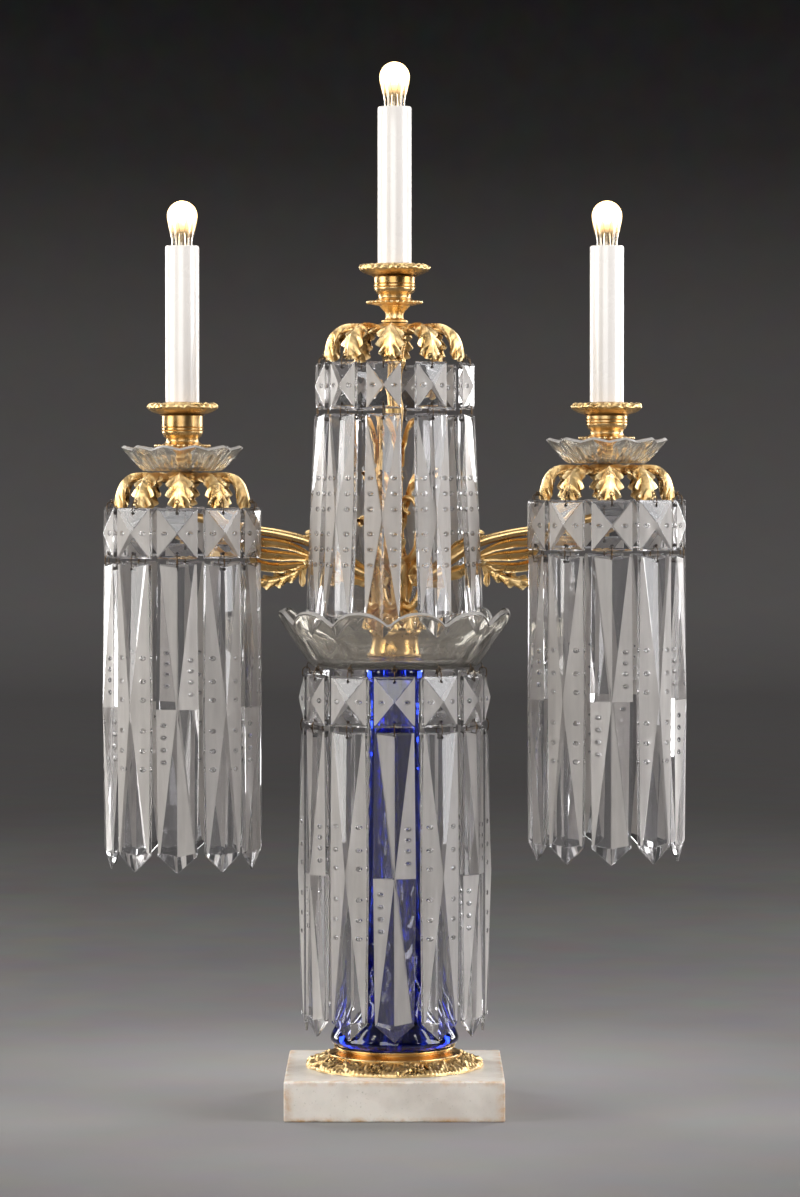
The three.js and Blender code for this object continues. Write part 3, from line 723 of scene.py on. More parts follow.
pillar_outside = curve_through(
    [
        (37.5, 0), (40.4, 1.2), (41.5, 5), (38.5, 12), (31, 24), (26.5, 38), (22.4, 60), (20.4, 85),
        (18.4, 130), (17.4, 175), (17.2, PILLAR_HEIGHT - 30), (17.4, PILLAR_HEIGHT - 9),
    ],
    14,
)
pillar_collar = curve_through(
    [(18.6, PILLAR_HEIGHT - 7.4), (19.4, PILLAR_HEIGHT - 4), (19, PILLAR_HEIGHT)], 5
)
pillar_inside = curve_through([(5.3, PILLAR_HEIGHT - 9), (10, PILLAR_HEIGHT - 22), (12, 130)], 6)
pillar_inside += curve_through([(14, 85), (20, 38), (32, 6), (33.5, 0)], 6)
pillar_outline = flat((*pillar_outside, *pillar_collar))
pillar_outline += [(5.3, PILLAR_HEIGHT), *flat(pillar_inside)]
pillar = new_piece(
    "cobalt_pillar", moved(turned(pillar_outline, SCOOPS_ROUND * 12, scooped), set_about(0, 0, pillar_low)),
    COBALT_GLASS, sharp=50,
)
settle(pillar, "stand", "blue_glass", "glass_pedestal")


# %% [markdown]
# ## Dish and bobeches
# The dish was pressed in a mould of twelve petals. Seen from above, each petal bulges, and the crease
# between two of them runs down the wall, while the rim rises and falls in arcs. The smaller drip pans,
# called bobeches, have pointed scallops and ribs cut under them. The lip of each was ground, and it
# shows as a pale line.

# %% Dish
def grind_rim(piece, axis_x, inner_mm):
    """Gives the ground finish, which is the piece's second, to the lip beyond a radius."""
    ground = 0
    for face in piece.data.polygons:
        out = Vector((face.center.x - axis_x * MM, face.center.y, 0))
        if out.length > inner_mm * MM and face.normal.z > 0.35 and face.normal.dot(out.normalized()) > -0.1:
            face.material_index = 1
            ground += 1
    print("ground lip:", piece.name, ground, "faces")


_, _, dish_low, dish_high = middle_mm("centre_dish")
DISH_HEIGHT = dish_high - dish_low
DISH_RIM = 75.5
DISH_FLOOR = 54.5
PETALS = 12
PETAL_TURN = math.radians(-3 - 90)


def petalled(turn, radius, height):
    notch = 1 - abs(math.sin(PETALS / 2 * (turn - PETAL_TURN)))
    wall = smooth_step(height, 1, DISH_HEIGHT * 0.5)
    if radius < DISH_FLOOR - 6:
        wall = 0
    dip = 8.5 * notch**1.3 * smooth_step(height, DISH_HEIGHT * 0.3, DISH_HEIGHT)
    return radius - 3.2 * notch**2 * wall, height - dip


dish_outside = curve_through(
    [(DISH_FLOOR - 2, 0), (DISH_FLOOR + 1.2, 2.4), (63, 13), (70, 24), (DISH_RIM, DISH_HEIGHT - 1.6)], 7
)
dish_inside = curve_through(
    [(DISH_RIM - 3.6, DISH_HEIGHT - 1.4), (66.2, 24), (59, 14), (52.5, 6.4), (46, 4.4)], 7
)
dish_lip = [Vector((DISH_RIM - 0.8, DISH_HEIGHT - 0.2)), Vector((DISH_RIM - 2.4, DISH_HEIGHT))]
dish_outline = [(BORE, 0), (30, 0), *flat((*dish_outside, *dish_lip, *dish_inside))]
dish_outline += [(30, 4), (BORE, 4)]
dish = new_piece(
    "petal_dish", moved(turned(dish_outline, PETALS * 16, petalled), set_about(0, 0, dish_low)),
    PRESSED_GLASS, GROUND_CRYSTAL, sharp=60,
)
grind_rim(dish, 0, DISH_FLOOR + 8)
settle(dish, "stand", "dish_glass", "centre_dish")

# %% Bobeches
SCALLOPS = 12
PAN_RIM = 40
PAN_FLOOR = 22


def scalloped(turn, radius, height):
    lobe = turn * SCALLOPS / TURN
    across = abs(lobe - math.floor(lobe) - 0.5) * 2
    fade = smooth_step(radius, PAN_FLOOR, PAN_RIM)
    rib = 0.5 * math.cos(turn * SCALLOPS * 3) * smooth_step(radius, PAN_FLOOR - 6, PAN_FLOOR + 4)
    return radius - 4 * across**1.4 * fade, height - 2.2 * across * fade + rib * (1 - fade)


pan_under = curve_through([(20, 0), (PAN_FLOOR + 4, 1), (33, 7), (PAN_RIM, 15)], 8)
pan_over = curve_through([(PAN_RIM - 1.6, 16.4), (32, 10.4), (PAN_FLOOR + 2, 4.2), (18, 3)], 8)
pan_outline = [(4, 0), *flat((*pan_under, *pan_over)), (4, 3)]
for side in ("left", "right"):
    pan_x, _, pan_low, _ = middle_mm("bobeche_" + side)
    pan = new_piece(
        "drip_pan_" + side,
        moved(turned(pan_outline, SCALLOPS * 14, scalloped), set_about(pan_x, 0, pan_low)), PRESSED_GLASS,
        GROUND_CRYSTAL, sharp=60,
    )
    grind_rim(pan, pan_x, PAN_RIM - 8)
    settle(pan, "stand", "dish_glass", "bobeche_" + side)


# %% [markdown]
# ## Node trees for what repeats
# A crown has ten leaves, a flange has thirty beads, and every pendant hangs on bent wire. Two small
# Geometry Nodes trees do this work: one repeats a shape round an axis, and one lays a wire along a line.
# Both end in Realize Instances and Set Material, and the result is then made a plain mesh.

# %% Repeat round an axis, and wire along a line
def new_tree(name, inputs):
    tree = bpy.data.node_groups.new(name, "GeometryNodeTree")
    for label, kind in inputs:
        tree.interface.new_socket(label, in_out="INPUT", socket_type="NodeSocket" + kind)
    tree.interface.new_socket("Geometry", in_out="OUTPUT", socket_type="NodeSocketGeometry")
    return tree, add_node(tree, "NodeGroupInput").outputs


def end_tree(tree, geometry, finish):
    real = add_node(tree, "GeometryNodeRealizeInstances", {"Geometry": geometry})
    dressed = add_node(tree, "GeometryNodeSetMaterial", {"Geometry": real, "Material": finish})
    add_node(tree, "NodeGroupOutput", {"Geometry": dressed})


GEOMETRY, INT, FLOAT, MATERIAL = "Geometry", "Int", "Float", "Material"
ROUND_TREE, given = new_tree(
    "repeat_round",
    [(GEOMETRY, GEOMETRY), ("Count", INT), ("First Turn", FLOAT), ("Finish", MATERIAL)],
)
step = add_node(ROUND_TREE, "ShaderNodeMath", {0: TURN, 1: given["Count"]}, operation="DIVIDE")
index = add_node(ROUND_TREE, "GeometryNodeInputIndex")
turns = add_node(
    ROUND_TREE, "ShaderNodeMath", {0: index, 1: step, 2: given["First Turn"]},
    operation="MULTIPLY_ADD",
)
spots = add_node(ROUND_TREE, "GeometryNodeMeshLine", {"Count": given["Count"], "Offset": (0, 0, 0)})
angles = add_node(ROUND_TREE, "ShaderNodeCombineXYZ", {"Z": turns})
copies = add_node(
    ROUND_TREE, "GeometryNodeInstanceOnPoints",
    {"Points": spots, "Instance": given["Geometry"], "Rotation": angles},
)
end_tree(ROUND_TREE, copies, given["Finish"])

WIRE_TREE, given = new_tree(
    "wire_along",
    [(GEOMETRY, GEOMETRY), ("Radius", FLOAT), ("Sides", INT), ("Finish", MATERIAL)],
)
line = add_node(WIRE_TREE, "GeometryNodeMeshToCurve", {"Mesh": given["Geometry"]})
section = add_node(
    WIRE_TREE, "GeometryNodeCurvePrimitiveCircle", {"Resolution": given["Sides"], "Radius": given["Radius"]}
)
wire = add_node(
    WIRE_TREE, "GeometryNodeCurveToMesh",
    {"Curve": line, "Profile Curve": section, "Fill Caps": True},
)
end_tree(WIRE_TREE, wire, given["Finish"])


def run_tree(piece, tree, values):
    """Runs a tree on a piece, with its inputs given by label, and keeps the plain mesh."""
    modifier = piece.modifiers.new(tree.name, "NODES")
    modifier.node_group = tree
    for item in tree.interface.items_tree:
        if item.in_out == "INPUT" and item.name in values:
            modifier[item.identifier] = values[item.name]
    bake_modifiers(piece)
    piece.data.name = piece.name
    return piece


def repeat_round(name, shape, count, finish, place, first_turn=0.0, sharp=50):
    """A shape repeated about the Z axis and then set in its place."""
    piece = new_piece(name, shape, finish, sharp=sharp)
    run_tree(piece, ROUND_TREE, {"Count": count, "First Turn": first_turn, "Finish": finish})
    piece.data.transform(Matrix.Translation(Vector(place) * MM))
    return piece


def wire_piece(name, lines, radius, finish, sides=8):
    """Wires along lines of points in millimetres. Each line is (points, whether it closes)."""
    verts = []
    edges = []
    for points, closed in lines:
        start = len(verts)
        verts += [Vector(p) * MM for p in points]
        edges += [(start + k, start + k + 1) for k in range(len(points) - 1)]
        if closed:
            edges.append((len(verts) - 1, start))
    mesh = bpy.data.meshes.new(name)
    mesh.from_pydata(verts, edges, [])
    piece = bpy.data.objects.new(name, mesh)
    bpy.context.scene.collection.objects.link(piece)
    run_tree(piece, WIRE_TREE, {"Radius": radius * MM, "Sides": sides, "Finish": finish})
    piece.data.shade_smooth()
    return piece


print("trees:", ROUND_TREE.name, len(ROUND_TREE.nodes), WIRE_TREE.name, len(WIRE_TREE.nodes))


# %% [markdown]
# ## Leaves and stems
# Acanthus is the leaf of nearly every gilt mount. It has a raised midrib, lobes that lean to the tip,
# edges that fold down, and a vein in each lobe. One maker draws it along any line, with its own width,
# and can roll it about that line so that it turns its face to the viewer. Stems are swept tubes.

# %% Leaf and stem makers
def tangent_at(line, i):
    return (line[min(i + 1, len(line) - 1)] - line[max(i - 1, 0)]).normalized()


LOBE_POINT = 0.72


def leaf(line, half_width, lobes, roll=0, fold=0.4, thick=1.3, relief=0.6, notch=0.5, cells=5):
    rows = len(line)
    cols = 2 * cells + 1
    over = []
    under = []
    for i, centre in enumerate(line):
        t = i / (rows - 1)
        along = tangent_at(line, i)
        side = Vector((0, 1, 0))
        side = (side - along * side.dot(along)).normalized()
        side = Matrix.Rotation(math.radians(roll), 3, along) @ side
        normal = along.cross(side)
        phase = (lobes * t) % 1
        wave = min(phase / LOBE_POINT, (1 - phase) / (1 - LOBE_POINT))
        reach = half_width(t)
        for j in range(cols):
            s = (j - cells) / cells
            edge = abs(s)
            spread = reach * (1 - notch * (1 - wave) * edge)
            lift = relief * (math.exp(-((s / 0.16) ** 2)) + (wave - 0.5) * edge * notch * 2.4)
            lift -= fold * reach * edge**1.5
            lean = along * (reach * 0.75 * edge * edge)
            point = centre + side * (s * spread) + normal * lift + lean
            over.append(point)
            under.append(point - normal * thick * (1 - 0.55 * edge * edge))
    verts = over + under
    base = len(over)
    faces = []
    for i in range(rows - 1):
        for j in range(cols - 1):
            k = i * cols + j
            faces.append((k, k + 1, k + cols + 1, k + cols))
            faces.append((base + k, base + k + cols, base + k + cols + 1, base + k + 1))
    border = [*range(cols)] + [i * cols + cols - 1 for i in range(1, rows)]
    border += [(rows - 1) * cols + j for j in range(cols - 2, -1, -1)]
    border += [i * cols for i in range(rows - 2, 0, -1)]
    for a, b in zip(border, border[1:] + border[:1]):
        faces.append((a, base + a, base + b, b))
    return verts, faces


def stem(line, radius, sides=14, flutes=0, first_side=(0, 1, 0)):
    """A tube along a line. The radius is a function of how far along it is, from 0 to 1."""
    verts = []
    faces = []
    side = Vector(first_side)
    for i, centre in enumerate(line):
        along = tangent_at(line, i)
        side = (side - along * side.dot(along)).normalized()
        other = along.cross(side)
        for k in range(sides):
            angle = TURN * k / sides
            reach = radius(i / (len(line) - 1)) * (1 + (0.08 * math.cos(flutes * angle) if flutes else 0))
            verts.append(centre + (side * math.cos(angle) + other * math.sin(angle)) * reach)
    for i in range(len(line) - 1):
        for k in range(sides):
            a = i * sides + k
            b = i * sides + (k + 1) % sides
            faces.append((a, b, b + sides, a + sides))
    faces.append(tuple(range(sides - 1, -1, -1)))
    faces.append(tuple(range(len(verts) - sides, len(verts))))
    return verts, faces


def upright(points):
    """Points given as (x, z) in the XZ plane."""
    return [(x, 0, z) for x, z in points]


def tapering(start, widest, end, peak=0.4):
    """A width along a leaf: it swells to its widest at the peak and narrows to the tip."""
    def width(t):
        if t < peak:
            return start + (widest - start) * math.sin(t / peak * math.pi / 2)
        return end + (widest - end) * math.cos((t - peak) / (1 - peak) * math.pi / 2) ** 0.8

    return width


# %% [markdown]
# ## Socket and branch casting
# A burnished socket stands in the dish with a leafy collar over it. The casting above it has a slim
# shaft, four S-shaped scrolls and leaves that curl out between them.

# %% Socket and collar
_, _, socket_low, socket_high = middle_mm("dish_socket")
_, _, shaft_low, shaft_high = middle_mm("branch_stem")
socket_side = curve_through([(17.5, 0), (18.2, 1.2), (16.6, 2.6), (15.6, 6), (15.2, 13), (16, 17)], 6)
socket_side += curve_through([(17, 18.4), (16.6, 20.4), (13, 22.6), (11, socket_high - socket_low)], 6)
socket_outline = [(BORE, 0), *flat(socket_side), (BORE, socket_high - socket_low)]
socket = new_piece(
    "socket_burnished", moved(turned(socket_outline, 96), set_about(0, 0, socket_low)), BURNISHED_GILT
)
settle(socket, "stand", "gilt", "dish_socket")

collar_line = curve_through(upright([(9, 9), (13, 7.4), (17, 4.6), (19.4, 0.6), (20.4, -3.4)]), 7)
collar = repeat_round(
    "leaf_collar", leaf(collar_line, tapering(3.4, 5.4, 1.2, 0.5), 4, fold=0.35, relief=0.7), 12, CAST_GILT,
    (0, 0, shaft_low),
)
settle(collar, "stand", "gilt")

# %% Shaft
SHAFT_HEIGHT = shaft_high - shaft_low
shaft_side = curve_through(
    [
        (10.5, 0), (12.4, 3), (10.6, 8), (8.8, 14), (9.6, 22), (9.8, 36), (7.4, 44), (6, 54), (5, 84),
        (4.4, 120), (5.4, 138), (4.2, 146), (4.6, 160), (7, 168), (5.6, 172), (7.6, SHAFT_HEIGHT),
    ],
    6,
)


def cast_flutes(turn, radius, height):
    return radius * (1 + 0.06 * math.cos(10 * turn + height * 0.05)), height


shaft_outline = [(0, 20), (BORE, 20), (BORE, 0), *flat(shaft_side), (0, SHAFT_HEIGHT)]
shaft = new_piece(
    "casting_shaft", moved(turned(shaft_outline, 80, cast_flutes), set_about(0, 0, shaft_low)), CAST_GILT,
    sharp=60,
)
settle(shaft, "stand", "gilt", "branch_stem")

# %% Scrolls and leaves of the casting
scroll_line = curve_through(
    upright([(7, 12), (15, 10), (22, 17), (24, 28), (19, 36), (13.5, 31), (16.5, 25)]), 7,
)
upper_scroll = curve_through(
    upright([(6, 40), (15, 42), (22, 52), (24, 66), (18, 78), (10, 80), (8.5, 73), (13, 70)]), 7
)
scrolls = together(
    stem(scroll_line, lambda t: 2.5 - 1.1 * t, flutes=5),
    stem(upper_scroll, lambda t: 2.3 - 1.0 * t, flutes=5),
)
scrolls = repeat_round(
    "casting_scrolls", scrolls, 4, CAST_GILT, (0, 0, shaft_low), first_turn=math.radians(45)
)
settle(scrolls, "stand", "gilt")

climbing = together(
    leaf(
        curve_through(upright([(7, 14), (10, 30), (13, 48), (15, 62), (21, 68), (23, 62)]), 9),
        tapering(4, 8, 1.4, 0.45), 7, fold=0.5, relief=0.9,
    ),
    leaf(
        curve_through(upright([(5, 62), (7, 78), (11, 92), (17, 98), (20, 92)]), 9),
        tapering(3, 6.4, 1.2, 0.5), 6, fold=0.5, relief=0.8,
    ),
    leaf(
        curve_through(upright([(4, 100), (5.4, 116), (9, 128), (13, 131), (15, 127)]), 8),
        tapering(2.4, 4.6, 1, 0.5), 5, fold=0.5, relief=0.7,
    ),
)
climbing = repeat_round("casting_leaves", climbing, 4, CAST_GILT, (0, 0, shaft_low))
settle(climbing, "stand", "gilt")


# %% [markdown]
# ## Branch arms
# Each arm is a smooth burnished rail in a long S, and under it lie long tongues of acanthus, one below
# the other, over a ragged fan. The tongues are rolled to the front and to the back in pairs, as the two
# halves of the mould made them. The right arm is the left one mirrored, with its end lifted to its higher
# crown.

# %% Arms
SPAN_INNER = 8.5
BLADE_ROLL = 72


def arm_shapes(reach, rise):
    at = lambda share: SPAN_INNER + (reach - SPAN_INNER) * share
    points = [(0, 0), (0.08, 1), (0.2, 9), (0.34, 20.5), (0.5, 26.5), (0.66, 30), (0.84, 35), (0.95, 39)]
    top = [(at(share), height) for share, height in points] + [(reach, rise - 7)]
    rail = stem(curve_through(upright(top), 7), lambda t: 3.6 - 1.0 * t, sides=20)
    boss_side = [(0, rise - 9), (4.6, rise - 8), (6, rise - 6), (5, rise - 3), (6.4, rise), (0, rise)]
    boss = moved(turned(boss_side, 32), set_about(reach, 0, 0))
    shapes = []
    blades = [
        # points of the line as (share of the reach, height), widths at start, widest and tip,
        # lobes and how deep they are cut, and how far the edges fold back
        ([(0.35, 13), (0.43, 18.5), (0.52, 21.6), (0.6, 22.6), (0.65, 25.4)], (1.8, 3.3, 1), 2, 0.1, 0.8),
        ([(0.35, 11), (0.44, 13), (0.53, 14), (0.61, 15.6), (0.655, 19.6)], (1.8, 3.7, 1), 2, 0.1, 0.8),
        ([(0.35, 9), (0.44, 7), (0.53, 6.2), (0.61, 8), (0.655, 12.4)], (1.8, 3.8, 1), 2, 0.12, 0.8),
        ([(0.36, 8), (0.44, 1.6), (0.53, -2.6), (0.635, -4.6)], (1.8, 6, 4), 5, 0.6, 0.3),
        ([(0.375, 9), (0.4, 2), (0.4, -7)], (1.6, 2.8, 0.4), 2, 0.3, 0.6),
        ([(0.02, -5), (0.14, -2), (0.27, 4), (0.38, 10)], (3, 5, 2), 5, 0.35, 0.4),
        ([(0.08, 5), (0.17, 12), (0.26, 20), (0.33, 27), (0.38, 27)], (2.2, 4, 1), 4, 0.35, 0.4),
        ([(0.62, 23), (0.72, 20), (0.82, 26), (0.87, 33)], (2, 4.2, 1.2), 4, 0.35, 0.4),
    ]
    for points, (start, widest, end), lobes, notch, fold in blades:
        line = curve_through(upright([(at(share), height) for share, height in points]), 12)
        width = tapering(start, widest, end, 0.55)
        for turned_to in (-1, 1):
            offset = Vector((0, turned_to * 2.6, 0))
            side_line = [p + offset * (0.3 + 0.7 * k / len(line)) for k, p in enumerate(line)]
            roll = -turned_to * BLADE_ROLL
            shapes.append(leaf(side_line, width, lobes, roll, fold, thick=1.6, relief=0.4, notch=notch))
    return together(rail, boss), together(*shapes)


ARM_ROOT = shaft_low + 30
for side, sign in (("left", -1), ("right", 1)):
    crown_x = middle_mm("candle_cup_" + side)[0]
    arm_top = box_mm("arm_" + side)[1].z
    place = Matrix.Translation((0, 0, ARM_ROOT)) @ Matrix.Scale(sign, 4, (1, 0, 0))
    rail, blades = [moved(shape, place) for shape in arm_shapes(abs(crown_x), arm_top - ARM_ROOT)]
    rail = new_piece("branch_rail_" + side, rail, BURNISHED_GILT)
    settle(rail, "stand", "gilt", "arm_" + side)
    blades = new_piece("branch_leaves_" + side, blades, CAST_GILT, sharp=50)
    settle(blades, "stand", "gilt")


# %% [markdown]
# ## Crowns
# Ten acanthus leaves arch out of a saucer-shaped hub with a star of small points, and droop to the rings
# of the pendants. One leaf is made and the tree repeats it. The hub's star is a turned outline whose
# radius swings with the turn.

# %% Crowns
CROWN_LEAVES = 10
HUB_HEIGHT = 12
WIRE_OUT = 2.6


def star(turn, radius, height):
    lobe = turn * CROWN_LEAVES / TURN
    point = 1 - 2 * abs(lobe - math.floor(lobe) - 0.5)
    out = smooth_step(radius, 8, 17)
    return radius - 3.4 * point * out, height - 1.2 * (1 - point) * out


hub_side = curve_through([(6, 0), (7.5, 2), (7, 6), (12, 8.6), (17, 8.4)], 6)
hub_side += curve_through([(17.2, 9.6), (12, 11), (7, HUB_HEIGHT)], 6)
hub_outline = [(0, 0), *flat(hub_side), (0, HUB_HEIGHT)]


def crown(place, ring, first_turn):
    x, _, _, high = middle_mm("crown_" + place)
    low = high - HUB_HEIGHT
    tip = ring - WIRE_OUT
    droop = [(tip - 4.4, 3), (tip - 1.6, -5), (tip - 0.6, -11)]
    line = curve_through(upright([(6, 6.2), (15, 8.6), (26, 10), (35, 8.6), *droop]), 9)
    leaves = repeat_round(
        "crown_leaves_" + place,
        leaf(line, tapering(3.6, 9.6, 1.8, 0.58), 6, fold=0.5, thick=1.8, relief=1.3, notch=0.5),
        CROWN_LEAVES, CAST_GILT, (x, 0, low), first_turn=first_turn,
    )
    settle(leaves, "stand", "gilt", "crown_" + place)
    hub = turned(hub_outline, CROWN_LEAVES * 10, star)
    hub = new_piece("crown_hub_" + place, moved(hub, set_about(x, 0, low, first_turn)), CAST_GILT)
    settle(hub, "stand", "gilt")


def joint_ring(prefix):
    """The pendants of one ring: name, wire eye in millimetres and turn, from their hinges."""
    ring = []
    for joint in frame["joints"]:
        if joint["child"].startswith(prefix):
            ax, ay, _ = joint["axis"]
            eye = Vector(joint["pos_m"]) / MM
            ring.append((joint["child"], eye, math.atan2(-ay, -ax)))
    return ring


RINGS = {name: joint_ring(name + "_pendant") for name in ("dish", "left", "right")}
SIDE_RING = (RINGS["left"][0][1] - Vector((middle_mm("crown_left")[0], 0, RINGS["left"][0][1].z))).length
UPPER_RING = 48.89
crown("left", SIDE_RING, math.radians(-90))
crown("right", SIDE_RING, math.radians(-90))
crown("top", UPPER_RING, math.radians(-94))


# %% [markdown]
# ## Candle cups
# Each cup was turned and burnished, and only its drip rim and its neck are cast with a pattern. The
# outline gives the cup, its waist, two fine rings, the saucer flange and the fluted neck. The beads on
# the edge of the flange are one small ball, repeated by the tree.

# %% Cups
def cup_parts(top):
    neck = curve_through([(8.4, 0), (8.4, 1), (6.2, 2), (5.6, 4), (6.2, 6.4), (8.6, 9), (9.8, 10.6)], 5)

    def fluted(turn, radius, height):
        return radius * (1 - 0.1 * abs(math.sin(6 * turn)) * smooth_step(height, 1.4, 2.4)), height

    neck_shape = turned([(0, 0), *flat(neck), (0, 10.6)], 96, fluted)
    waist = curve_through([(14, 11.2), (17.4, 12.2), (17.6, 13.2), (12.6, 14), (10.6, 16), (10.8, 17.8)], 6)
    body = curve_through([(12.4, 19.4), (13.2, 21.4)], 4)
    for height in (22.2, 24.2):
        body += [Vector((13.2, height)), Vector((13.9, height + 0.5)), Vector((13.2, height + 1))]
    cup_top = [Vector((13.2, top - 9)), Vector((14.6, top - 8.4))]
    inner = [Vector((11.4, top - 8.4)), Vector((11.4, top - 8.3)), Vector((0, top - 8.3))]
    cup_outline = [(0, 10.6), (9.8, 10.6), *flat((*waist, *body, *cup_top, *inner))]
    cup_shape = turned(cup_outline, 96)
    return neck_shape, cup_shape


def cast_rim(turn, radius, height):
    out = smooth_step(radius, 14, 21)
    lump = abs(math.sin(turn * 11 + 0.6 * math.sin(3 * turn)))
    ripple = noise.noise(Vector((math.cos(turn) * 9, math.sin(turn) * 9, height * 0.5)))
    radius += (0.9 * lump + 0.7 * ripple - 0.6) * out
    return radius, height + (0.5 * (lump - 0.5) + 0.4 * ripple) * out


def ball(radius, steps):
    bends = [math.pi * k / steps for k in range(1, steps)]
    side = [(radius * math.sin(a), -radius * math.cos(a)) for a in bends]
    return turned([(0, -radius), *side, (0, radius)], 2 * steps)


FLANGE_BEADS = 30
for place in ("top", "left", "right"):
    cup_x, _, cup_foot, cup_rim = middle_mm("candle_cup_" + place)
    top = cup_rim - cup_foot
    neck, cup = cup_parts(top)
    here = set_about(cup_x, 0, cup_foot)
    cup = new_piece("candle_cup_body_" + place, moved(cup, here), BURNISHED_GILT, sharp=35)
    settle(cup, "stand", "gilt", "candle_cup_" + place)
    neck = new_piece("candle_cup_neck_" + place, moved(neck, here), CAST_GILT)
    settle(neck, "stand", "gilt")
    under = [(12, top - 8.4), (16, top - 7.6), (20.4, top - 6), (22.8, top - 3.6), (21.6, top - 1.4)]
    lip = curve_through(under, 6)
    lip += curve_through([(20, top - 0.6), (17, top - 1.6), (13.6, top - 0.8), (11.5, top)], 6)
    lip_outline = [(11.5, top - 8.4), *flat(lip)]
    rim = new_piece(
        "candle_cup_rim_" + place, moved(turned(lip_outline, 22 * 10, cast_rim), here), CAST_GILT, sharp=60
    )
    settle(rim, "stand", "gilt")
    bead = moved(ball(0.95, 5), Matrix.Translation((17.4, 0, 12.8)))
    beads = repeat_round("flange_beads_" + place, bead, FLANGE_BEADS, CAST_GILT, (cup_x, 0, cup_foot))
    settle(beads, "stand", "gilt")


# %% [markdown]
# ## Sleeves and lamps
# The candle is a glossy tube over the lampholder, with a softly rounded lip. The lamp in it has a pear-
# shaped clear bulb, a glass pinch, two support wires and a coiled filament, which the wire tree draws.

# %% Sleeves and lamps
SLEEVE_RADIUS = 11
for place in ("top", "left", "right"):
    x, _, low, high = middle_mm("candle_sleeve_" + place)
    lip = curve_through([(SLEEVE_RADIUS, high - 1.2), (SLEEVE_RADIUS - 0.4, high - 0.2), (9.9, high)], 4)
    outline = [(SLEEVE_RADIUS, low), (SLEEVE_RADIUS, low + 30), *flat(lip), (9.8, low)]
    sleeve = new_piece("candle_tube_" + place, moved(turned(outline, 96), set_about(x, 0, 0)), SLEEVE_WHITE)
    settle(sleeve, "stand", "sleeve_white", "candle_sleeve_" + place)

    _, _, bulb_low, bulb_high = middle_mm("bulb_" + place)
    neck_from = high - 5
    globe = bulb_high - 9.8
    pear = [(7, neck_from + 0.3), (7.1, high + 3), (8, high + 8), (9.5, globe - 3), (9.8, globe)]
    outside = curve_through(pear, 6)
    for a in (0.2, 0.4, 0.6, 0.8, 1.0, 1.2, 1.4):
        outside.append(Vector((9.8 * math.cos(a), globe + 9.8 * math.sin(a))))
    wall = flat(outside) + [(0, bulb_high)]
    inside = [(0, bulb_high - 0.5)] + [(p.x - 0.5, p.y) for p in reversed(outside)]
    shell = turned([(6.4, neck_from), *wall, *inside, (6.4, neck_from)], 48)
    glass = new_piece("lamp_glass_" + place, moved(shell, set_about(x, 0, 0)), LAMP_GLASS)
    glow = glass.data.attributes.new("glow", "FLOAT", "POINT")
    for vertex, value in zip(glass.data.vertices, glow.data):
        value.value = smooth_step(vertex.co.z / MM, high + 6, globe + 4)
    settle(glass, "stand", "bulb_glass", "bulb_" + place)

    cap_side = [(0, bulb_low), (3, bulb_low), (5.8, bulb_low + 1)]
    for k in range(4):
        cap_side += [(5.8, bulb_low + 2 + 2 * k), (5.3, bulb_low + 3 + 2 * k)]
    cap_outline = [*cap_side, (5.8, neck_from), (0, neck_from)]
    cap = new_piece("lamp_cap_" + place, moved(turned(cap_outline, 48), set_about(x, 0, 0)), LAMP_CAP)
    settle(cap, "stand", "gilt")
    pinch_side = curve_through([(3.4, neck_from), (2.6, high), (2.2, high + 7), (1.6, high + 9)], 5)
    pinch = turned([(0, neck_from), *flat(pinch_side), (0, high + 9)], 24)
    pinch = new_piece("lamp_pinch_" + place, moved(pinch, set_about(x, 0, 0)), PRESSED_GLASS)
    settle(pinch, "stand", "bulb_glass")
    posts = [([(x + s * 1.2, 0, high + 8), (x + s * 3.6, 0, globe + 1)], False) for s in (-1, 1)]
    posts = wire_piece("lamp_posts_" + place, posts, 0.2, DARK_WIRE, sides=6)
    settle(posts, "stand", "steel")
    coil = [
        (x - 3.6 + 7.2 * k / 90, 0.55 * math.cos(k * 0.9), globe + 1 + 0.55 * math.sin(k * 0.9))
        for k in range(91)
    ]
    coil = wire_piece("lamp_filament_" + place, [(coil, False)], 0.16, FILAMENT, sides=5)
    settle(coil, "stand", "bulb_glass")

for place in ("top", "left", "right"):
    holder = frame["nodes"]["lampholder_" + place]
    holder.data.materials.clear()
    holder.data.materials.append(BLACK_PHENOLIC)


# %% [markdown]
# ## Cut glass
# A cut jewel or prism is what is left of a block when flat cuts have been taken off it, and that is also
# how it is made here: a block is cut by one plane after another, and each cut leaves a facet that
# remembers whether it was polished or left ground. Round dots are then scooped out and a hole is drilled.
# Each kind is cut once and copied to its places.

# %% Cutting on the wheel
POLISHED, GROUND, DRILLED, SCOOPED = range(4)
CRYSTAL = (POLISHED_CRYSTAL, GROUND_CRYSTAL, DRILLED_CRYSTAL, POLISHED_CRYSTAL)
ARRIS = 0.22


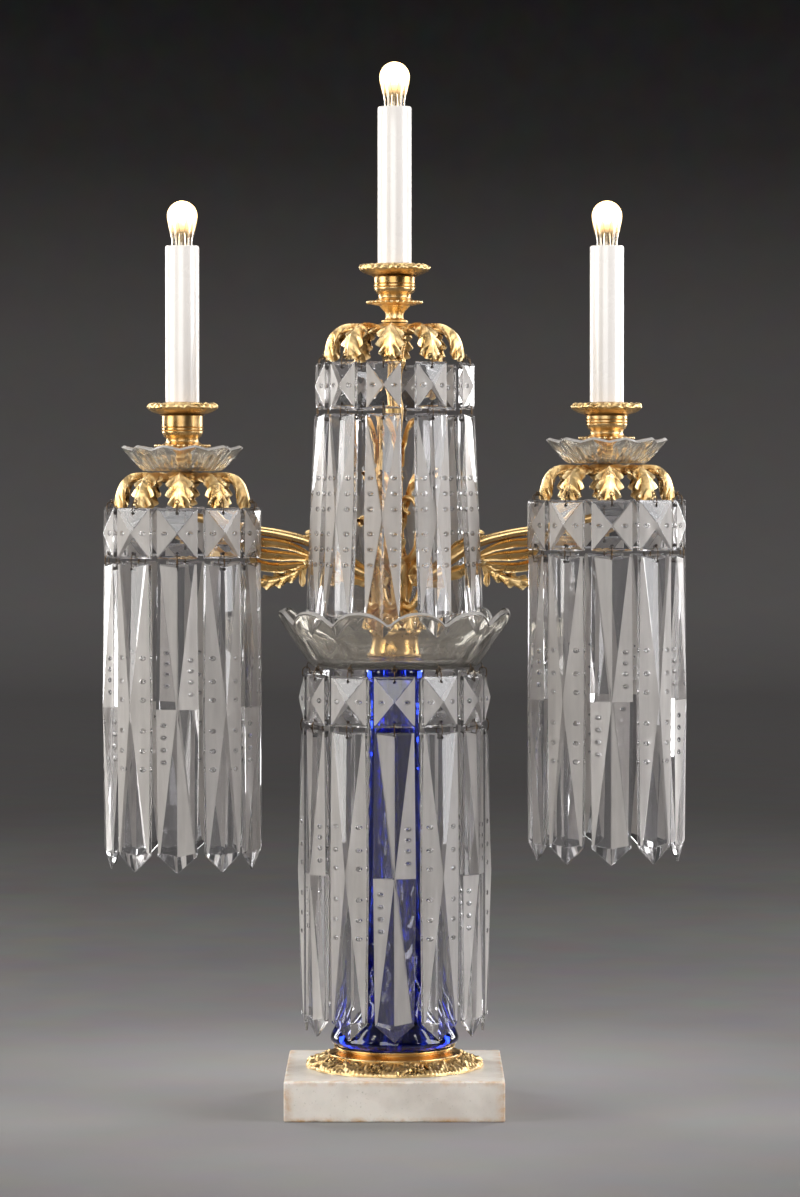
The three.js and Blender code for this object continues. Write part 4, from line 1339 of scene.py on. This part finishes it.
def cut_block(size, cuts):
    """A block from -size to +size, after each cut has taken off what lies outside its plane."""
    block = bmesh.new()
    bmesh.ops.create_cube(block, size=2)
    bmesh.ops.scale(block, vec=size, verts=block.verts)
    for point, outwards, kind in cuts:
        whole = block.verts[:] + block.edges[:] + block.faces[:]
        made = bmesh.ops.bisect_plane(
            block, geom=whole, plane_co=point, plane_no=outwards, clear_outer=True, dist=1e-5
        )
        rim = [e for e in made["geom_cut"] if isinstance(e, bmesh.types.BMEdge)]
        if len(rim) > 2:
            facet = bmesh.ops.contextual_create(block, geom=rim)["faces"]
            for face in facet:
                face.material_index = kind
    bmesh.ops.recalc_face_normals(block, faces=block.faces)
    arrises = [e for e in block.edges if len(e.link_faces) == 2 and e.calc_face_angle() > math.radians(14)]
    bmesh.ops.bevel(
        block, geom=arrises, offset=ARRIS, segments=1, affect="EDGES", clamp_overlap=True, material=POLISHED
    )
    mesh = bpy.data.meshes.new("cut_block")
    block.to_mesh(mesh)
    block.free()
    mesh.transform(Matrix.Scale(MM, 4))
    return mesh


def both_faces(depth, slope_x, slope_z, mid, kind):
    """The same cut on the front and on the back. The facet's depth is that at x = 0 and height mid."""
    cuts = []
    for face in (-1, 1):
        point = (0, face * depth, mid)
        cuts.append((point, (slope_x, face, slope_z), kind))
    return cuts


def scoop_and_drill(name, mesh, dots, holes):
    """Scoops the dots, given as (x, y, z), and drills the holes, given as heights."""
    piece = bpy.data.objects.new(name, mesh)
    bpy.context.scene.collection.objects.link(piece)
    for finish in CRYSTAL:
        mesh.materials.append(finish)
    tools = [
        (SCOOPED, together(*[moved(ball(1, 6), Matrix.Translation(dot) @ DOT_SIZE) for dot in dots])),
        (DRILLED, together(*[moved(DRILL, Matrix.Translation((0, 0, z))) for z in holes])),
    ]
    for kind, shape in tools:
        tool = new_piece("tool", shape, *CRYSTAL)
        for face in tool.data.polygons:
            face.material_index = kind
        cut = piece.modifiers.new("cut", "BOOLEAN")
        cut.solver = "EXACT"
        cut.object = tool
        bake_modifiers(piece)
        bpy.data.objects.remove(tool)
    for face in piece.data.polygons:
        face.use_smooth = face.material_index >= DRILLED
    print("cut:", name, len(piece.data.polygons), "faces")
    mesh = piece.data
    bpy.data.objects.remove(piece)
    return mesh


DOT_SIZE = Matrix.Diagonal((2.7, 1.3, 1.7, 1))
HOLE = 1.05
DRILL = moved(
    turned([(0, -9), (HOLE, -9), (HOLE, 9), (0, 9)], 12), Matrix.Rotation(math.radians(90), 4, "X")
)


# %% [markdown]
# ### Jewels
# Four facets meet in a point on each side of a jewel. The upper and lower ones are polished, and the two
# at the sides are ground, with one polished dot in each. A narrow polished bevel runs along the top and
# the bottom edge.

# %% Jewels
EDGE_HALF = 1.3


def jewel_mesh(name, width, height, thick):
    """Its top edge is at z = 0."""
    half_x = width / 2
    half_z = height / 2
    rise = thick / 2 - EDGE_HALF
    cuts = []
    for sign in (-1, 1):
        cuts += both_faces(thick / 2, sign * rise / half_x, 0, 0, GROUND)
        cuts += both_faces(thick / 2, 0, sign * rise / half_z, 0, POLISHED)
    for sign in (-1, 1):
        for face in (-1, 1):
            cuts.append(((0, face * 0.7, sign * half_z), (0, face, sign * 0.55), POLISHED))
    mesh = cut_block((half_x, thick / 2, half_z), cuts)
    dot_x = half_x * 0.62
    dot_y = thick / 2 - rise * 0.62
    dots = [(sx * dot_x, sy * dot_y, 0) for sx in (-1, 1) for sy in (-1, 1)]
    mesh = scoop_and_drill(name, mesh, dots, (half_z - 3.5, 3.5 - half_z))
    mesh.transform(Matrix.Translation((0, 0, -half_z * MM)))
    return mesh


JEWEL_HEIGHT = 32.5
UPPER_JEWEL_HEIGHT = 30
LONG_JEWEL = jewel_mesh("jewel", 26, JEWEL_HEIGHT, 10)
SHORT_JEWEL = jewel_mesh("upper_jewel", 22, UPPER_JEWEL_HEIGHT, 10)


# %% [markdown]
# ### Prisms
# A long prism is thickest a little above its middle. Two narrow facets run the whole length at its sides,
# and four wedges meet at the middle like two arrows, tip to tip. On one pattern the sides are ground and
# the wedges clear. On the other a crease crosses the middle and the finishes change places above and
# below it. Dots follow the ground sides, and the foot ends in a point.

# %% Prisms
RIDGE = 5.5
SIDE_SLOPE = 0.307
WEDGE_SLOPE = 0.12
WEDGE_FALL = 0.0243
CREASE_FALL = 0.002
POINT = 11
PLANNED_LENGTH = 197
MID_SHARE = 0.47


def prism_mesh(name, width, length, pattern, dot_rows):
    """Its top edge is at z = 0. The pattern gives the finish of the side and the wedge of each quarter."""
    half_x = width / 2
    mid = -MID_SHARE * length
    fall = WEDGE_FALL * PLANNED_LENGTH / length
    cuts = []
    for (left, upper), (side_kind, wedge_kind) in pattern.items():
        sx = -1 if left else 1
        sz = 1 if upper else -1
        cuts += both_faces(RIDGE, sx * SIDE_SLOPE, sz * CREASE_FALL, mid, side_kind)
        cuts += both_faces(RIDGE, sx * WEDGE_SLOPE, sz * fall, mid, wedge_kind)
    for sx in (-1, 1):
        cuts.append(((sx * half_x, 0, mid), (sx, 0, half_x * 0.08 / -mid), POLISHED))
        cuts.append(((sx * half_x, 0, mid), (sx, 0, -half_x * 0.1 / (length + mid)), POLISHED))
        cuts.append(((0, 0, -length), (sx * POINT, 0, -half_x * 0.9), POLISHED))
        for face in (-1, 1):
            cuts.append(((0, face * 0.6, -length), (sx * 0.16, face, -0.24), POLISHED))
    for face in (-1, 1):
        cuts.append(((0, face * 1.4, 0), (0, face, 0.8), POLISHED))
    # The cuts are planned with the top edge at z = 0, and the block is cut about its own middle.
    lift = Vector((0, 0, length / 2))
    cuts = [(Vector(point) + lift, outwards, kind) for point, outwards, kind in cuts]
    mesh = cut_block((half_x, RIDGE, length / 2), cuts)
    dots = []
    for left, z in dot_rows:
        sx = -1 if left else 1
        x = half_x * 0.64
        depth = RIDGE - SIDE_SLOPE * x
        dots += [(sx * x, face * depth, z + length / 2) for face in (-1, 1)]
    mesh = scoop_and_drill(name, mesh, dots, (length / 2 - 3.5,))
    mesh.transform(Matrix.Translation((0, 0, -length / 2 * MM)))
    return mesh


LEFT_UP, LEFT_LOW, RIGHT_UP, RIGHT_LOW = (True, True), (True, False), (False, True), (False, False)
ARROWS = {quarter: (GROUND, POLISHED) for quarter in (LEFT_UP, LEFT_LOW, RIGHT_UP, RIGHT_LOW)}
CHEQUERED = {
    LEFT_UP: (POLISHED, GROUND), RIGHT_UP: (GROUND, POLISHED), LEFT_LOW: (GROUND, POLISHED),
    RIGHT_LOW: (POLISHED, GROUND),
}


def dot_pairs(length, shares):
    return [(left, -length * share) for left in (True, False) for share in shares]


PRISM_LENGTH = 197
UPPER_PRISM_LENGTH = 142
ARROW_DOTS = dot_pairs(PRISM_LENGTH, (0.305, 0.38, 0.44, 0.54, 0.605, 0.665))
CHEQUER_DOTS = [(False, -PRISM_LENGTH * share) for share in (0.31, 0.345, 0.38, 0.42)]
CHEQUER_DOTS += [(True, -PRISM_LENGTH * share) for share in (0.52, 0.56, 0.6, 0.64)]
UPPER_DOTS = dot_pairs(UPPER_PRISM_LENGTH, (0.29, 0.36, 0.43, 0.54, 0.61, 0.68))
ARROW_PRISM = prism_mesh("arrow_prism", 27.2, PRISM_LENGTH, ARROWS, ARROW_DOTS)
CHEQUER_PRISM = prism_mesh("chequer_prism", 27.2, PRISM_LENGTH, CHEQUERED, CHEQUER_DOTS)
UPPER_PRISM = prism_mesh("upper_prism", 24, UPPER_PRISM_LENGTH, ARROWS, UPPER_DOTS)


# %% [markdown]
# ## Hanging the pendants
# Every pendant hangs on bent wire: one loop joins its jewel to the crown, and another joins the prism to
# the jewel. A loop goes through a drilled hole and back over the edge of the glass. The jewel, the prism
# and the wires are three pieces, and all three ride on the pendant's own body, so that they swing.

# %% Hang one pendant
HOOK_DROP = 2.6
LINK_DROP = 3
HOLE_IN = 3.5
WIRE = 0.33
# No pendant hangs quite square to its ring, so each one catches the light a little differently.
JEWEL_TWIST = 4
PRISM_TWIST = 1
chance = random.Random(11)


def loop(half_wide, low, high, steps=5):
    """A loop of wire in the YZ plane with round ends."""
    turns = [math.pi * k / steps for k in range(steps + 1)]
    round_end = min(half_wide, (high - low) / 2)
    over = [(0, half_wide * math.cos(a), high - round_end + round_end * math.sin(a)) for a in turns]
    under = [(0, -half_wide * math.cos(a), low + round_end - round_end * math.sin(a)) for a in turns]
    return over + under


def copy_of(name, mesh, place):
    piece = bpy.data.objects.new(name, mesh.copy())
    piece.data.name = name
    piece.data.transform(place)
    bpy.context.scene.collection.objects.link(piece)
    return piece


def hang(name, body, eye, turn, jewel, jewel_height, prism, splay=0.0):
    place = Matrix.Translation(eye * MM) @ Matrix.Rotation(turn, 4, "Z")
    jewel_twist = Matrix.Rotation(math.radians(chance.uniform(-JEWEL_TWIST, JEWEL_TWIST)), 4, "Z")
    prism_twist = Matrix.Rotation(math.radians(chance.uniform(-PRISM_TWIST, PRISM_TWIST)), 4, "Z")
    jewel_at = Matrix.Translation((0, 0, -HOOK_DROP * MM)) @ jewel_twist
    prism_top = -HOOK_DROP - jewel_height - LINK_DROP
    lean = Matrix.Rotation(math.radians(-splay), 4, "X")
    prism_at = Matrix.Translation((0, 0, prism_top * MM)) @ lean @ prism_twist
    made = [
        copy_of(name + "_jewel", jewel, place @ jewel_at),
        copy_of(name + "_prism", prism, place @ prism_at),
    ]
    hook = loop(2.4, -HOOK_DROP - HOLE_IN, 1.0)
    link = loop(3.6, prism_top - HOLE_IN, -HOOK_DROP - jewel_height + HOLE_IN)
    at = Matrix.Translation(eye) @ Matrix.Rotation(turn, 4, "Z")
    lines = [([at @ Vector(p) for p in points], True) for points in (hook, link)]
    wires = wire_piece(name + "_wires", lines, WIRE, DARK_WIRE, sides=6)
    for piece in made:
        settle(piece, body, "crystal")
    settle(wires, body, "steel")
    if body != "stand":
        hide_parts(body)
    return made


# %% Hang the three moving rings
for ring_name, ring in RINGS.items():
    for k, (body, eye, turn) in enumerate(ring):
        chequered = (k % 2 == 0) if ring_name == "dish" else (k % 2 == 1)
        hang(body, body, eye, turn, LONG_JEWEL, JEWEL_HEIGHT, CHEQUER_PRISM if chequered else ARROW_PRISM)

# %% Hang the upper ring
UPPER_TURNS = (-71, -41, -8, 28, 71, 109, 140, 172, 208, 251)
RING_WIRE = 1.2
UPPER_SPLAY = 2.5
upper_eye = box_mm("upper_pendants")[1].z - RING_WIRE
upper_places = []
for k, degrees in enumerate(UPPER_TURNS):
    turn = math.radians(degrees)
    eye = Vector((UPPER_RING * math.sin(turn), -UPPER_RING * math.cos(turn), upper_eye))
    upper_places.append((eye, turn))
    name = f"upper_pendant_{k:02d}"
    made = hang(name, "stand", eye, turn, SHORT_JEWEL, UPPER_JEWEL_HEIGHT, UPPER_PRISM, UPPER_SPLAY)
    if k == 0:
        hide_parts("upper_pendants")

# %% [markdown]
# The crown tips and the edge of the dish each hold a small ring or pin of wire, and it stays with the
# stand when the pendant on it swings.

# %% Rings on the tips and pins through the dish
RING_PLANE = 0.5
RING_LOW = -0.15


def small_ring(eye, turn, radius, steps=12):
    """A ring that stands across the hook, with its lowest point where the hook bears on it."""
    at = Matrix.Translation(eye) @ Matrix.Rotation(turn, 4, "Z")
    high = RING_LOW + radius
    angles = [TURN * k / steps for k in range(steps)]
    return [at @ Vector((radius * math.cos(a), RING_PLANE, high + radius * math.sin(a))) for a in angles]


for ring_name, places in (
    ("left", [(eye, turn) for _, eye, turn in RINGS["left"]]),
    ("right", [(eye, turn) for _, eye, turn in RINGS["right"]]), ("top", upper_places),
):
    rings = [(small_ring(eye, turn, 1.4), True) for eye, turn in places]
    piece = wire_piece("tip_rings_" + ring_name, rings, WIRE, DARK_WIRE, sides=6)
    settle(piece, "stand", "steel")

PIN = [(0, RING_PLANE, 2.6), (0, 1.2, 3.8), (0, 3, 5.2), (0, 6, 5)]
pins = []
for _, eye, turn in RINGS["dish"]:
    at = Matrix.Translation(eye) @ Matrix.Rotation(turn, 4, "Z")
    pins.append(([at @ Vector(point) for point in PIN], False))
    pins.append((small_ring(eye, turn, 1.4), True))
pins = wire_piece("dish_pins", pins, WIRE, DARK_WIRE, sides=6)
settle(pins, "stand", "steel")


# %% [markdown]
# ## Floor and backdrop
# A round studio: a floor where the lamp stands, which rises in a wide curve all round it. Light and
# shade are painted on its paper by distance: a painted pool of light under the lamp, painted shade round
# it, a painted band of light where the wall begins to rise, and painted shade that is nearly black at the
# top, so that the clear glass shows against it.

# %% Sweep
# Painted light and shade by distance: a pool of light under the lamp, shade round it, a band of light where
# the wall rises, and shade to nearly black at the top.
PAINTED_LIGHT_REACH = 10.0
PAINTED_LIGHT_TONES = (
    (0.001, "#767372"), (0.018, "#747170"), (0.045, "#504D4C"), (0.08, "#3E3B3A"), (0.14, "#3A3734"),
    (0.35, "#7E7A77"), (0.57, "#9A9693"), (0.74, "#7C7875"), (0.84, "#423F3D"), (0.93, "#080808"),
)


def backdrop_painted_light_and_shade(tree):
    place = add_node(tree, "ShaderNodeTexCoord").outputs["Object"]
    fibre = add_node(tree, "ShaderNodeTexNoise", {"Vector": place, "Scale": grains(60), "Detail": 3})
    # How far out the paper is, with its height counted twice.
    level = add_node(tree, "ShaderNodeVectorMath", {0: place, 1: (1, 1, 0)}, operation="MULTIPLY")
    out = add_node(tree, "ShaderNodeVectorMath", {0: level}, operation="LENGTH")
    height = add_node(tree, "ShaderNodeSeparateXYZ", {0: place}).outputs["Z"]
    reach = add_node(tree, "ShaderNodeMath", {0: height, 1: 2.0, 2: out}, operation="MULTIPLY_ADD")
    share = add_node(tree, "ShaderNodeMapRange", {"Value": reach, "From Max": PAINTED_LIGHT_REACH})
    # This ramp paints the light and shade on the paper.
    paper = add_node(tree, "ShaderNodeValToRGB", {"Fac": share})
    ramp = paper.color_ramp.elements
    while len(ramp) < len(PAINTED_LIGHT_TONES):
        ramp.new(0.5)
    for stop, (along, tone) in zip(ramp, PAINTED_LIGHT_TONES):
        stop.position = along
        stop.color = linear(tone)
    grain = fibre.outputs["Color"]
    mixed = add_node(tree, "ShaderNodeMix", {0: 0.03, 6: paper, 7: grain}, data_type="RGBA")
    return add_node(tree, "ShaderNodeBsdfPrincipled", {"Base Color": mixed, "Roughness": 0.9})


STUDIO_FLOOR = 4800
CURVE = 1400
round_up = [math.pi / 2 * k / 14 for k in range(15)]
sweep_outline = [(0, 0), (400, 0), (1200, 0), (2600, 0)]
sweep_outline += [(STUDIO_FLOOR + CURVE * math.sin(a), CURVE - CURVE * math.cos(a)) for a in round_up]
sweep_outline += [(STUDIO_FLOOR + CURVE, 3200), (0, 3200)]
sweep_verts, sweep_faces = turned(sweep_outline, 96)
sweep_faces = [face for face in sweep_faces if min(sweep_verts[i].z for i in face) < 3199]
sweep = new_piece("studio_sweep", (sweep_verts, sweep_faces), finish_of("backdrop_painted_light_and_shade", backdrop_painted_light_and_shade))
